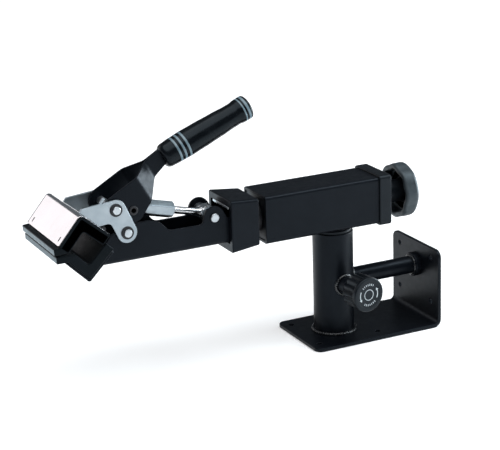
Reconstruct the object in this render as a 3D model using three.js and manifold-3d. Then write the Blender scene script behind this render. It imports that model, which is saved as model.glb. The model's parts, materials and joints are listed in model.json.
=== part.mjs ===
// Bench and wall mounted bicycle repair stand with a toggle clamp.
// Millimetres, +Z up. The origin is on the underside of the base plate, on the post's axis.
// +X runs along the arm towards the wall plate; the clamp is at the -X end.
import * as THREE from 'three';
import { mergeVertices } from 'three/addons/utils/BufferGeometryUtils.js';
import Module from 'manifold-3d';

const wasm = await Module();
wasm.setup();

// ---------------------------------------------------------------- driving dimensions
const RAD = Math.PI / 180;
const GAP = 0.3;                 // clearance kept between pieces that touch or turn on each other
const RUNNING = 0.1;             // radial clearance of a pin in its hole
const ROUND = 28;                // sides of a large round piece
const ROUND_SMALL = 20;          // sides of a small round piece
const CORNER_STEPS = 4;          // segments in a rounded corner
const OVERCUT = 2;               // how far a cutting tool reaches past what it cuts

// base
const PLATE = 4;                 // thickness of the bent base bracket
const BASE_WIDTH = 93;
const BASE_LEFT = -45;
const WALL_FACE = 105;           // outer face of the upright flange
const WALL_HEIGHT = 85;
const BEND_OUTER = 9;
const PLATE_CORNER = 8;
const SCREW_HOLE = 2.8;          // radius of the eight fixing holes
const HOLE_Y = 31.5;
const BASE_HOLES_X = [-35, 35];
const WALL_HOLES_Z = [25, 74];
const POST_R = 21.5;
const POST_BORE = 18.5;
const POST_TOP = 114.5;
const WELD = 3;                   // leg of the weld bead round the foot of the post
const BUSH_REACH = 24;            // how far the post's bush goes down into it
const BUSH_FLANGE = 3;
const BUSH_FLANGE_R = 19.8;
const BRACE_R = 9.5;
const BRACE_WALL = 2;
const BRACE_Z = 58.5;
const BRACE_FLANGE_R = 13;
const BRACE_FLANGE = 6;

// post knob, on a radial axis turned a little towards the wall
const KNOB_TURN = 8 * RAD;
const KNOB_BACK = 35.5;
const KNOB_FACE = 61.5;
const KNOB_R = 18.5;
const KNOB_RIDGES = 14;
const KNOB_RIDGE_DEPTH = 2.4;
const KNOB_RIM = 4;               // length of the smooth face at the front
const KNOB_NECK = 4;              // length of the narrower neck at the back
const KNOB_NECK_R = 12.5;
const KNOB_POCKET = 12;           // how deep the screw's head goes into the knob
const KNOB_SCREW_R = 5;
const PRESSURE_PAD_R = 4.2;
const PRESSURE_PAD = 3.2;
const BOSS_R = 9.5;
const BOSS_END = 30.5;

// arm
const ARM_Z = 145;               // height of the arm's axis
const ARM_SIDE = 50;
const ARM_WALL = 3;
const ARM_CORNER = 3.5;
const ARM_LEFT = -89.3;
const ARM_RIGHT = 42.5;
const CAP_SIDE = 54;
const CAP_LENGTH = 13.8;
const CAP_CORNER = 3;
const SPIGOT_LENGTH = 16;         // of the cap's plug inside the arm
const FRONT_PLUG = 18;
const PLUG_CORNER = 1;
const STUB_R = 16.6;
const STUB_WALL = 3;
const STUB_SHOULDER_R = 19.2;
const STUB_BOTTOM = 36;
const BOLT_R = 6;
const REAR_KNOB_R = 29.4;
const REAR_KNOB_LOBES = 8;
const REAR_KNOB_LOBE_DEPTH = 1.6;
const REAR_KNOB_WALL = 7;
const REAR_KNOB_FLOOR = 5;
const REAR_KNOB_HUB_R = 12;
const REAR_KNOB_NEAR = 74;       // inner rim of the rear knob
const REAR_KNOB_FAR = 90;
const REAR_WASHER = 1.8;
const REAR_WASHER_R = 13.5;

// clamp head
const COLLAR_RIGHT = -96.5;
const COLLAR_LEFT = -128.5;
const COLLAR_SIDE_RIGHT = 49;
const COLLAR_SIDE_LEFT = 54.6;
const COLLAR_CORNER = 2.5;
const POCKET_HALF_WIDTH = 21.5;
const POCKET_LOW = 126.6;
const POCKET_HIGH = 164.8;
const POCKET_END = -104;
const STRIP = [22, 36, 2.6];      // the wear strip under the collar's roof
const BOLT_HEAD = 7;
const BOLT_HEAD_R = 10.4;
const FRICTION_WASHER_R = 17;
const CHANNEL_HALF = 20;
const CHANNEL_SHEET = 3;
const CHANNEL_LOW = 127;
const CHANNEL_RIGHT = -104.4;
const CHANNEL_REAR_TOP = 154;
const CHANNEL_FRONT_TOP = 149;
const HEAD_REACH = 400;          // a length past the end of the whole head

// the four pivots of the toggle, as [x, z]
const PIVOT_A = [-248.9, 182.4]; // handle on the jaw bracket
const PIVOT_B = [-238.4, 157.8]; // jaw bracket on the channel
const PIVOT_C = [-229.9, 178.3]; // link on the handle
const PIVOT_E = [-144.0, 156.7]; // link on the channel's ears
const PIN_R = 4.1;
const PIN_STAND_OUT = 3.1;        // how far the two jaw pins stand out of the side plates
const RING_R = 6.4;               // the clips that keep them in
const RING = 1.1;
const EAR_PIN_R = 4;
const EAR_PIN_HEAD_R = 4.5;
const EAR_PIN_HEAD = 2;
const EAR_R = 11.5;
const SPACER_R = 6.5;

// jaws
const JAW_HALF = 46;
const JAW_PLATE_HALF = 44.5;
const JAW_SHEET = 1.8;
const JAW_LEG = 37.5;             // length of a jaw's leg on the side of the pivots
const UPPER_LEG = 36.4;           // and of the upper and lower jaw's other leg
const LOWER_LEG = 31.2;
const PAD_THICK = 10;
const PAD_SHORT = 1;              // how much the pad ends before its plate does
const LIP_HEIGHT = 6.8;          // of the upright lip that ends each pad
const UPPER_LIP = [31.2, 24.3];  // the lip's outer corner, left of and below the pad's apex
const LOWER_LIP = [32.1, 20.4];  // left of and above it
const UPPER_BEND = 4.5;          // outer radius of the bend along each jaw plate
const LOWER_BEND = 2.5;
const PLATE_SLOT = [5.5, 1.8];
const SLOT_FROM_EDGE = 6;
const SLOT_FROM_SIDE = 7.5;
const UPPER_APEX = [-293.1, 191.2];
const UPPER_TILT = 4.5 * RAD;
const LOWER_APEX = [-287.8, 122.3];
const LOWER_SHEET = 2.5;
const SIDE_PLATE = 2.5;
const SIDE_PLATE_IN = 20.5;
const SIDE_PLATE_R = 10.2;
const FINGER = [2.2, 7];          // the leaning finger on top of the front side plate
const FINGER_PLACE = [-262.4, 193.6];
const FINGER_LEAN = 41 * RAD;
const TIE_ROD_R = 2.9;            // the rod across the end of the upper jaw's leg
const TIE_ROD_ALONG = 41;

// handle
const HANDLE_ANGLE = 29.5 * RAD; // direction of the yoke plates
const YOKE_IN = 17.5;
const YOKE_OUT = 20;
const YOKE_END_R = 12.4;          // round both of its pivots
const YOKE_BEND_1 = 35.2;
const YOKE_BEND_2 = 54;
const TANG_IN = 0.15;
const TANG_OUT = 2.65;
const TANG_HALF = 8.2;            // half height of the tang inside the grip
const TANG_RISE = 1.1;            // its middle above the grip's axis
const TANG_REACH = 42;
const RIVET_HEAD_R = 4.7;
const RIVET_HEAD = 1;
const RIVET_BORE = 2.6;
const GRIP_START = [-185.5, 222.2];
const GRIP_ANGLE = 22.4 * RAD;
const GRIP_LENGTH = 99.4;

// link
const NUT_FLATS = 15;
const NUT_NEAR = -38.2;          // along the link, measured from the ear pin
const NUT_FAR = -70;
const NUT_COUNTERBORE = -55.5;
const NUT_COUNTERBORE_R = 5.75;
const NUT_CHAMFER = 0.8;
const ROD_R = 4;
const ROD_END = -54;
const ROD_HUB_R = 8.8;
const ROD_HUB_HALF = 6.5;
const STUD_R = 3;
const STUD_END = -62;
const EYE_R = 7.4;
const EYE_HALF = 6;

// ---------------------------------------------------------------- materials
function surface(colour, roughness, metalness) {
  return new THREE.MeshStandardMaterial({ color: colour, roughness, metalness });
}
const powderCoat = surface(0x1c2028, 0.42, 0.3);
const zinc = surface(0xa3b0b8, 0.32, 0.95);
const polished = surface(0xe8e6ea, 0.12, 1.0);
const steel = surface(0xb9bec4, 0.22, 1.0);
const brass = surface(0xb08d3f, 0.35, 0.9);
const blackOxide = surface(0x16181c, 0.5, 0.7);
const rubber = surface(0x14161a, 0.75, 0.0);
const plastic = surface(0x101215, 0.45, 0.0);

// ---------------------------------------------------------------- solids
function toManifold(geometry) {
  const bare = geometry.clone();
  bare.deleteAttribute('normal');
  bare.deleteAttribute('uv');
  const merged = mergeVertices(bare, 1e-4);
  return new wasm.Manifold(new wasm.Mesh({
    numProp: 3,
    vertProperties: new Float32Array(merged.attributes.position.array),
    triVerts: new Uint32Array(merged.index.array),
  }));
}

function toGeometry(manifold) {
  const mesh = manifold.getMesh();
  const geometry = new THREE.BufferGeometry();
  geometry.setAttribute('position', new THREE.BufferAttribute(new Float32Array(mesh.vertProperties), 3));
  geometry.setIndex(new THREE.BufferAttribute(new Uint32Array(mesh.triVerts), 1));
  return geometry;
}

function cut(body, ...tools) {
  return toGeometry(tools.reduce((solid, tool) => solid.subtract(toManifold(tool)), toManifold(body)));
}

function join(body, ...others) {
  return toGeometry(others.reduce((solid, other) => solid.add(toManifold(other)), toManifold(body)));
}

function common(body, ...others) {
  return toGeometry(others.reduce((solid, other) => solid.intersect(toManifold(other)), toManifold(body)));
}

function extruded(shape, depth, curveSegments) {
  return new THREE.ExtrudeGeometry(shape, { depth, bevelEnabled: false, curveSegments });
}

// A profile drawn in X and Z, made solid from y = low to y = high.
function alongY(shape, low, high, curveSegments = CORNER_STEPS) {
  return extruded(shape, high - low, curveSegments).rotateX(Math.PI / 2).translate(0, high, 0);
}

// A profile drawn in Y and Z, made solid from x = low to x = high.
function alongX(shape, low, high, curveSegments = CORNER_STEPS) {
  const basis = new THREE.Matrix4().makeBasis(
    new THREE.Vector3(0, 1, 0), new THREE.Vector3(0, 0, 1), new THREE.Vector3(1, 0, 0));
  return extruded(shape, high - low, curveSegments).applyMatrix4(basis).translate(low, 0, 0);
}

// A profile drawn in X and Y, made solid from z = low to z = high.
function alongZ(shape, low, high, curveSegments = CORNER_STEPS) {
  return extruded(shape, high - low, curveSegments).translate(0, 0, low);
}

// A body of revolution from [radius, distance] points, its axis turned to X, Y or Z.
function turned(points, axis, sides = ROUND_SMALL) {
  const geometry = new THREE.LatheGeometry(points.map(([r, d]) => new THREE.Vector2(r, d)), sides);
  if (axis === 'x') geometry.rotateZ(-Math.PI / 2);
  if (axis === 'z') geometry.rotateX(Math.PI / 2);
  return geometry;
}

function rod(radius, low, high, axis, sides = ROUND_SMALL) {
  return turned([[0, low], [radius, low], [radius, high], [0, high]], axis, sides);
}

function pipe(outer, inner, low, high, axis, sides = ROUND_SMALL) {
  return turned([[inner, low], [outer, low], [outer, high], [inner, high], [inner, low]], axis, sides);
}

// The outline that runs tangent round a chain of circles [x, y, radius], counter-clockwise.
// A negative radius is a hollow corner and a zero radius a sharp one.
function belt(circles) {
  const count = circles.length;
  const normals = circles.map(([x, y, r], i) => {
    const [nextX, nextY, nextR] = circles[(i + 1) % count];
    const along = new THREE.Vector2(nextX - x, nextY - y);
    const distance = along.length();
    along.divideScalar(distance);
    const sine = (r - nextR) / distance;
    const right = new THREE.Vector2(along.y, -along.x);
    return along.multiplyScalar(sine).add(right.multiplyScalar(Math.sqrt(1 - sine * sine)));
  });
  const shape = new THREE.Shape();
  circles.forEach(([x, y, r], i) => {
    const before = normals[(i + count - 1) % count];
    const after = normals[i];
    const startX = x + r * before.x;
    const startY = y + r * before.y;
    if (i === 0) shape.moveTo(startX, startY);
    else shape.lineTo(startX, startY);
    if (r !== 0) {
      const flip = Math.sign(r);
      const from = Math.atan2(flip * before.y, flip * before.x);
      const to = Math.atan2(flip * after.y, flip * after.x);
      shape.absarc(x, y, Math.abs(r), from, to, r < 0);
    }
  });
  return shape;
}

function roundedRectangle(x0, y0, x1, y1, r) {
  return belt([[x1 - r, y0 + r, r], [x1 - r, y1 - r, r], [x0 + r, y1 - r, r], [x0 + r, y0 + r, r]]);
}

// A round hole whose flats, not its corners, lie at the stated radius.
function circleHole(x, y, r) {
  const cornerR = r / Math.cos(Math.PI / ROUND_SMALL);
  const points = [];
  for (let i = 0; i < ROUND_SMALL; i += 1) {
    const angle = -2 * Math.PI * i / ROUND_SMALL;
    points.push(new THREE.Vector2(x + cornerR * Math.cos(angle), y + cornerR * Math.sin(angle)));
  }
  return new THREE.Path(points);
}

// A round outline with rounded lobes or ridges: the radius swings between two values.
function lobed(outer, inner, lobes, stepsPerLobe, sharpness = 1) {
  const points = [];
  const steps = lobes * stepsPerLobe;
  for (let i = 0; i < steps; i += 1) {
    const angle = 2 * Math.PI * i / steps;
    const swing = (0.5 + 0.5 * Math.cos(lobes * angle)) ** sharpness;
    const r = inner + (outer - inner) * swing;
    points.push(new THREE.Vector2(r * Math.cos(angle), r * Math.sin(angle)));
  }
  return new THREE.Shape(points);
}

function part(name, geometry, material, parent) {
  const mesh = new THREE.Mesh(geometry, material);
  mesh.name = name;
  parent.add(mesh);
  return mesh;
}

const stand = new THREE.Group();

// ---------------------------------------------------------------- base
function buildBracket(base) {
  const half = BASE_WIDTH / 2;
  const innerBend = BEND_OUTER - PLATE;
  const profile = belt([
    [BASE_LEFT, 0, 0], [WALL_FACE - BEND_OUTER, BEND_OUTER, BEND_OUTER], [WALL_FACE, WALL_HEIGHT, 0],
    [WALL_FACE - PLATE, WALL_HEIGHT, 0], [WALL_FACE - PLATE - innerBend, PLATE + innerBend, -innerBend],
    [BASE_LEFT, PLATE, 0],
  ]);
  const plan = belt([
    [BASE_LEFT + PLATE_CORNER, -half + PLATE_CORNER, PLATE_CORNER], [WALL_FACE + OVERCUT, -half, 0],
    [WALL_FACE + OVERCUT, half, 0], [BASE_LEFT + PLATE_CORNER, half - PLATE_CORNER, PLATE_CORNER],
  ]);
  const elevation = belt([
    [-half, -OVERCUT, 0], [half, -OVERCUT, 0],
    [half - PLATE_CORNER, WALL_HEIGHT - PLATE_CORNER, PLATE_CORNER],
    [-half + PLATE_CORNER, WALL_HEIGHT - PLATE_CORNER, PLATE_CORNER],
  ]);
  const blank = common(
    alongY(profile, -half, half),
    alongZ(plan, -OVERCUT, WALL_HEIGHT + OVERCUT),
    alongX(elevation, BASE_LEFT - OVERCUT, WALL_FACE + OVERCUT));
  const holes = [];
  for (const y of [-HOLE_Y, HOLE_Y]) {
    for (const x of BASE_HOLES_X) {
      holes.push(rod(SCREW_HOLE, -OVERCUT, PLATE + OVERCUT, 'z').translate(x, y, 0));
    }
    for (const z of WALL_HOLES_Z) {
      holes.push(rod(SCREW_HOLE, -PLATE - OVERCUT, OVERCUT, 'x').translate(WALL_FACE, y, z));
    }
  }
  part('base_bracket', cut(blank, ...holes), powderCoat, base);
}

function buildPost(base) {
  const screwHole = rod(KNOB_SCREW_R + GAP, -POST_R - OVERCUT, 0, 'y')
    .rotateZ(KNOB_TURN)
    .translate(0, 0, BRACE_Z);
  const weldShoulder = WELD * Math.SQRT1_2;
  const post = turned([
    [POST_BORE, PLATE], [POST_R + WELD, PLATE], [POST_R + weldShoulder, PLATE + weldShoulder],
    [POST_R, PLATE + 1.5 * WELD], [POST_R, POST_TOP], [POST_BORE, POST_TOP], [POST_BORE, PLATE],
  ], 'z', ROUND);
  part('post_tube', cut(post, screwHole), powderCoat, base);

  const brace = pipe(BRACE_R, BRACE_R - BRACE_WALL, 0, WALL_FACE - PLATE - BRACE_FLANGE, 'x')
    .translate(0, 0, BRACE_Z);
  const postEnvelope = rod(POST_R + RUNNING / 2, 0, POST_TOP, 'z', ROUND);
  part('brace_tube', cut(brace, postEnvelope), powderCoat, base);
  const chamfer = 1;
  part('brace_flange', turned([
    [0, -BRACE_FLANGE], [BRACE_FLANGE_R - chamfer, -BRACE_FLANGE], [BRACE_FLANGE_R, chamfer - BRACE_FLANGE],
    [BRACE_FLANGE_R, 0], [0, 0],
  ], 'x').translate(WALL_FACE - PLATE, 0, BRACE_Z), powderCoat, base);

  const bore = STUB_R + RUNNING;
  const sleeve = POST_BORE - RUNNING;
  part('post_bush', turned([
    [bore, -BUSH_REACH], [sleeve, -BUSH_REACH], [sleeve, 0], [BUSH_FLANGE_R, 0],
    [BUSH_FLANGE_R, BUSH_FLANGE], [bore, BUSH_FLANGE], [bore, -BUSH_REACH],
  ], 'z', ROUND).translate(0, 0, POST_TOP), plastic, base);
}

function buildPostKnob(base) {
  const knob = new THREE.Group();
  knob.position.z = BRACE_Z;
  knob.rotation.z = KNOB_TURN;
  base.add(knob);
  part('post_boss', cut(
    pipe(BOSS_R, KNOB_SCREW_R + RUNNING, -BOSS_END, 0, 'y'),
    rod(POST_R + GAP, -POST_TOP, POST_TOP, 'z', ROUND)), powderCoat, knob);

  const overlap = 0.5;
  const ridgeOutline = lobed(KNOB_R, KNOB_R - KNOB_RIDGE_DEPTH, KNOB_RIDGES, 6, 0.6);
  const ridges = alongY(ridgeOutline, -KNOB_FACE + KNOB_RIM, -KNOB_BACK - KNOB_NECK);
  const face = rod(KNOB_R, -KNOB_FACE, -KNOB_FACE + KNOB_RIM + overlap, 'y', ROUND);
  const neck = rod(KNOB_NECK_R, -KNOB_BACK - KNOB_NECK - overlap, -KNOB_BACK, 'y', ROUND);
  const bore = rod(KNOB_SCREW_R, -KNOB_BACK - KNOB_POCKET, 0, 'y');
  part('post_knob', cut(join(ridges, face, neck), bore), plastic, knob);

  const padInner = -STUB_R - GAP;
  const padOuter = padInner - PRESSURE_PAD;
  const screwOuter = -KNOB_BACK - KNOB_POCKET + GAP;
  part('post_pressure_pad', rod(PRESSURE_PAD_R, padOuter, padInner, 'y'), brass, knob);
  part('post_knob_screw', rod(KNOB_SCREW_R - RUNNING / 2, screwOuter, padOuter - GAP, 'y'), steel, knob);
}

// ---------------------------------------------------------------- arm
function squareFrame(side, corner, wall = 0) {
  const half = side / 2;
  const frame = roundedRectangle(-half, -half, half, half, corner);
  if (wall > 0) {
    const inner = half - wall;
    frame.holes.push(roundedRectangle(-inner, -inner, inner, inner, PLUG_CORNER));
  }
  return frame;
}

function buildArmTube(arm) {
  const insideSide = ARM_SIDE - 2 * (ARM_WALL + GAP);
  const boltBore = BOLT_R + RUNNING;
  part('arm_tube', alongX(squareFrame(ARM_SIDE, ARM_CORNER, ARM_WALL), ARM_LEFT, ARM_RIGHT), powderCoat, arm);

  const plug = squareFrame(insideSide, PLUG_CORNER);
  plug.holes.push(circleHole(0, 0, boltBore));
  part('arm_front_plug', alongX(plug, ARM_LEFT + 1, ARM_LEFT + 1 + FRONT_PLUG), plastic, arm);

  const capEnd = ARM_RIGHT + CAP_LENGTH;
  const spigotEnd = ARM_RIGHT - SPIGOT_LENGTH;
  const cover = alongX(squareFrame(CAP_SIDE, CAP_CORNER), ARM_RIGHT, capEnd);
  const spigot = alongX(squareFrame(insideSide, PLUG_CORNER), spigotEnd, ARM_RIGHT + 1);
  const capBore = rod(boltBore, spigotEnd - OVERCUT, capEnd + OVERCUT, 'x');
  part('arm_end_cap', cut(join(cover, spigot), capBore), plastic, arm);

  const stubBore = STUB_R - STUB_WALL;
  const shoulder = POST_TOP + BUSH_FLANGE + GAP;
  const armLow = ARM_Z - ARM_SIDE / 2;
  part('swivel_stub', turned([
    [stubBore, STUB_BOTTOM], [STUB_R, STUB_BOTTOM], [STUB_R, shoulder], [STUB_SHOULDER_R, shoulder],
    [STUB_SHOULDER_R, armLow], [stubBore, armLow], [stubBore, STUB_BOTTOM],
  ], 'z', ROUND).translate(0, 0, -ARM_Z), powderCoat, arm);
}

function buildRearKnob(arm) {
  const boltBore = BOLT_R + RUNNING;
  const washerStart = ARM_RIGHT + CAP_LENGTH + GAP;
  const hubStart = washerStart + REAR_WASHER + GAP;
  const skin = 2.5;
  const outline = lobed(REAR_KNOB_R, REAR_KNOB_R - REAR_KNOB_LOBE_DEPTH, REAR_KNOB_LOBES, 8, 0.7);
  const body = alongX(outline, REAR_KNOB_NEAR, REAR_KNOB_FAR);
  const hollow = rod(
    REAR_KNOB_R - REAR_KNOB_WALL, REAR_KNOB_NEAR - OVERCUT, REAR_KNOB_FAR - REAR_KNOB_FLOOR, 'x', ROUND);
  const hub = rod(REAR_KNOB_HUB_R, hubStart, REAR_KNOB_FAR - 1, 'x');
  const bore = rod(boltBore, hubStart - OVERCUT, REAR_KNOB_FAR - skin, 'x');
  part('rear_knob', cut(join(cut(body, hollow), hub), bore), plastic, arm);
  part('rear_washer', pipe(REAR_WASHER_R, boltBore, washerStart, washerStart + REAR_WASHER, 'x'), zinc, arm);
}

// ---------------------------------------------------------------- clamp head
function buildCollar(head) {
  const blank = alongX(squareFrame(COLLAR_SIDE_LEFT, COLLAR_CORNER), COLLAR_LEFT, COLLAR_RIGHT);
  const positions = blank.attributes.position;
  for (let i = 0; i < positions.count; i += 1) {
    const fraction = (positions.getX(i) - COLLAR_LEFT) / (COLLAR_RIGHT - COLLAR_LEFT);
    const taper = 1 + fraction * (COLLAR_SIDE_RIGHT / COLLAR_SIDE_LEFT - 1);
    positions.setY(i, positions.getY(i) * taper);
    positions.setZ(i, positions.getZ(i) * taper);
  }
  const boltBore = BOLT_R + RUNNING;
  const pocketShape = roundedRectangle(
    -POCKET_HALF_WIDTH, POCKET_LOW - ARM_Z, POCKET_HALF_WIDTH, POCKET_HIGH - ARM_Z, PLUG_CORNER);
  const pocket = alongX(pocketShape, COLLAR_LEFT - OVERCUT, POCKET_END);
  const bore = rod(boltBore, POCKET_END - OVERCUT, COLLAR_RIGHT + OVERCUT, 'x');
  part('head_collar', cut(blank, pocket, bore), powderCoat, head);

  const [stripLength, stripWidth, stripThick] = STRIP;
  const strip = new THREE.BoxGeometry(stripLength, stripWidth, stripThick)
    .translate(COLLAR_LEFT + GAP + stripLength / 2, 0, POCKET_HIGH - GAP - stripThick / 2 - ARM_Z);
  part('collar_strip', strip, steel, head);

  const headFace = POCKET_END - GAP;
  const hexagon = lobed(BOLT_HEAD_R, BOLT_HEAD_R * Math.cos(Math.PI / 6), 6, 4);
  const boltHead = alongX(hexagon, headFace - BOLT_HEAD, headFace);
  const shank = rod(BOLT_R, headFace - 1, REAR_KNOB_FAR - 3, 'x');
  part('draw_bolt', join(boltHead, shank), steel, head);
  part('friction_washer',
    pipe(FRICTION_WASHER_R, boltBore, COLLAR_RIGHT + GAP, ARM_LEFT - GAP, 'x', ROUND), blackOxide, head);
}

function buildChannel(head) {
  const [bx, bz] = PIVOT_B;
  const [ex, ez] = PIVOT_E;
  const alongLowerLeg = LOWER_APEX[0] - LOWER_APEX[1] + GAP * Math.SQRT2;
  const side = belt([
    [alongLowerLeg + CHANNEL_LOW, CHANNEL_LOW, 0], [CHANNEL_RIGHT, CHANNEL_LOW, 0],
    [CHANNEL_RIGHT, CHANNEL_REAR_TOP, 0], [ex + 17, ez + 1.3, -4], [ex, ez, EAR_R], [ex - 16, ez - 1.4, -4],
    [bx + 49.4, bz + 2.5, -9], [bx + 32.4, bz - 1.5, 6.3], [bx + 24.4, bz + 4.3, 3], [bx, bz, 7.4],
    [bx - 13.6, bz - 5.8, 5], [alongLowerLeg + CHANNEL_FRONT_TOP, CHANNEL_FRONT_TOP, 0],
  ]);
  side.holes.push(circleHole(bx, bz, PIN_R + RUNNING), circleHole(ex, ez, EAR_PIN_R + RUNNING));
  const inner = CHANNEL_HALF - CHANNEL_SHEET;
  const trough = new THREE.BoxGeometry(2 * HEAD_REACH, 2 * inner, HEAD_REACH)
    .translate(-HEAD_REACH, 0, CHANNEL_LOW + CHANNEL_SHEET + HEAD_REACH / 2);
  const channel = cut(alongY(side, -CHANNEL_HALF, CHANNEL_HALF, 5), trough);
  part('head_channel', channel, powderCoat, head).position.z = -ARM_Z;

  const face = CHANNEL_HALF + GAP;
  const dome = 0.7;
  const headHalf = [
    [EAR_PIN_R, face], [EAR_PIN_HEAD_R, face], [EAR_PIN_HEAD_R, face + EAR_PIN_HEAD - dome],
    [EAR_PIN_HEAD_R - dome, face + EAR_PIN_HEAD], [0, face + EAR_PIN_HEAD],
  ];
  const otherHalf = headHalf.map(([r, y]) => [r, -y]).reverse();
  part('ear_pin', turned([...otherHalf, ...headHalf], 'y').translate(ex, 0, ez - ARM_Z), steel, head);
  const spacerNear = ROD_HUB_HALF + 2 * GAP;
  const spacerFar = inner - GAP;
  for (const [name, low, high] of [
    ['ear_spacer_front', -spacerFar, -spacerNear], ['ear_spacer_back', spacerNear, spacerFar],
  ]) {
    part(name, pipe(SPACER_R, EAR_PIN_R + RUNNING, low, high, 'y').translate(ex, 0, ez - ARM_Z), zinc, head);
  }
}

// A pin through both side plates and the clips at its two ends.
function buildJawPin(name, [x, z], parent) {
  const plateFace = SIDE_PLATE_IN + SIDE_PLATE;
  const pinEnd = plateFace + PIN_STAND_OUT;
  part(`${name}_pin`, rod(PIN_R, -pinEnd, pinEnd, 'y').translate(x, 0, z), steel, parent);
  for (const [end, low] of [['front', -plateFace - GAP - RING], ['back', plateFace + GAP]]) {
    const ring = pipe(RING_R, PIN_R + RUNNING, low, low + RING, 'y').translate(x, 0, z);
    part(`${name}_pin_ring_${end}`, ring, blackOxide, parent);
  }
}

// ---------------------------------------------------------------- jaws
// Both jaws are a right-angled V. It is drawn with the apex at the origin and both legs pointing down.
function angleProfile(leftLeg, rightLeg, sheet, bend) {
  const left = leftLeg / Math.SQRT2;
  const right = rightLeg / Math.SQRT2;
  const step = sheet / Math.SQRT2;
  return belt([
    [-left, -left, 0], [-left + step, -left - step, 0], [0, -2 * step, 0], [right - step, -right - step, 0],
    [right, -right, 0], [0, -bend * Math.SQRT2, bend],
  ]);
}

// The pad inside a V, with a lip on its left leg.
function padProfile([lipX, lipTop], rightLeg, bend) {
  const right = rightLeg / Math.SQRT2;
  const step = PAD_THICK / Math.SQRT2;
  const lipLow = lipTop + LIP_HEIGHT;
  return belt([
    [-lipTop, -lipTop, 0], [-lipX, -lipTop, 0], [-lipX, -lipLow, 0], [2 * step - lipLow, -lipLow, 0],
    [0, -2 * step, 0], [right - step, -right - step, 0], [right, -right, 0], [0, -bend * Math.SQRT2, bend],
  ]);
}

function buildLowerJaw(head) {
  const jaw = new THREE.Group();
  jaw.position.set(LOWER_APEX[0], 0, LOWER_APEX[1] - ARM_Z);
  head.add(jaw);
  const plate = alongY(angleProfile(LOWER_LEG, JAW_LEG, LOWER_SHEET, LOWER_BEND),
    -JAW_PLATE_HALF, JAW_PLATE_HALF);
  part('lower_jaw_plate', plate.scale(1, -1, -1), powderCoat, jaw);
  const pad = alongY(padProfile(LOWER_LIP, JAW_LEG - PAD_SHORT, LOWER_BEND), -JAW_HALF, JAW_HALF);
  part('lower_jaw_pad', pad.scale(1, -1, -1), rubber, jaw).position.z = (LOWER_SHEET + GAP / 2) * Math.SQRT2;
}

function buildUpperJaw() {
  const jaw = new THREE.Group();
  jaw.position.set(UPPER_APEX[0], 0, UPPER_APEX[1]);
  jaw.rotation.y = -UPPER_TILT;
  stand.add(jaw);
  const [slotLength, slotWidth] = PLATE_SLOT;
  const slots = [-1, 1].map((side) => new THREE.BoxGeometry(slotLength, slotWidth, 4 * JAW_SHEET)
    .translate(SLOT_FROM_EDGE - UPPER_LEG, side * (JAW_PLATE_HALF - SLOT_FROM_SIDE), 0)
    .rotateY(-Math.PI / 4));
  const profile = angleProfile(UPPER_LEG, JAW_LEG, JAW_SHEET, UPPER_BEND);
  const sheet = alongY(profile, -JAW_PLATE_HALF, JAW_PLATE_HALF);
  part('upper_jaw_plate', cut(sheet, ...slots), polished, jaw);
  const padOutline = padProfile(UPPER_LIP, JAW_LEG - 2 * PAD_SHORT, UPPER_BEND - JAW_SHEET);
  const pad = alongY(padOutline, -JAW_HALF, JAW_HALF);
  part('upper_jaw_pad', pad, rubber, jaw).position.z = -(JAW_SHEET + GAP) * Math.SQRT2;
}

// The two plates that carry the upper jaw, with the pin that the handle turns on.
function buildSidePlates() {
  const jaw = new THREE.Group();
  stand.add(jaw);
  const [ax, az] = PIVOT_A;
  const [bx, bz] = PIVOT_B;
  const legAngle = -Math.PI / 4 + UPPER_TILT;
  const onLeg = (along, off) => [
    UPPER_APEX[0] + along * Math.cos(legAngle) - off * Math.sin(legAngle),
    UPPER_APEX[1] + along * Math.sin(legAngle) + off * Math.cos(legAngle),
  ];
  const hollow = 5.4;
  const outline = belt([
    [...onLeg(8.5, GAP), 0], [...onLeg(34.5, GAP), 0], [bx - 20.1, bz + 6.7, -hollow], [bx, bz, SIDE_PLATE_R],
    [ax, az, SIDE_PLATE_R], [...onLeg(9.5, 4.4), 1],
  ]);
  outline.holes.push(circleHole(ax, az, PIN_R + RUNNING), circleHole(bx, bz, PIN_R + RUNNING));
  const [fingerWidth, fingerLength] = FINGER;
  const [fingerX, fingerZ] = FINGER_PLACE;
  for (const [end, side] of [['front', -1], ['back', 1]]) {
    const middle = side * (SIDE_PLATE_IN + SIDE_PLATE / 2);
    const sheet = alongY(outline, middle - SIDE_PLATE / 2, middle + SIDE_PLATE / 2, 6);
    const finger = new THREE.BoxGeometry(fingerWidth, SIDE_PLATE, fingerLength)
      .rotateY(-FINGER_LEAN).translate(fingerX, middle, fingerZ);
    part(`jaw_side_plate_${end}`, side < 0 ? join(sheet, finger) : sheet, zinc, jaw);
  }
  buildJawPin('toggle', PIVOT_A, jaw);
  const [rodX, rodZ] = onLeg(TIE_ROD_ALONG, 0);
  const rodEnd = SIDE_PLATE_IN - GAP;
  part('jaw_tie_rod', rod(TIE_ROD_R, -rodEnd, rodEnd, 'y').translate(rodX, 0, rodZ), steel, jaw);
}

// ---------------------------------------------------------------- handle
// The handle is drawn in its own frame: its origin on pivot A and its first axis along the yoke plates.
function toHandle([x, z]) {
  const dx = x - PIVOT_A[0];
  const dz = z - PIVOT_A[1];
  return [
    dx * Math.cos(HANDLE_ANGLE) + dz * Math.sin(HANDLE_ANGLE),
    dz * Math.cos(HANDLE_ANGLE) - dx * Math.sin(HANDLE_ANGLE),
  ];
}

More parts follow.
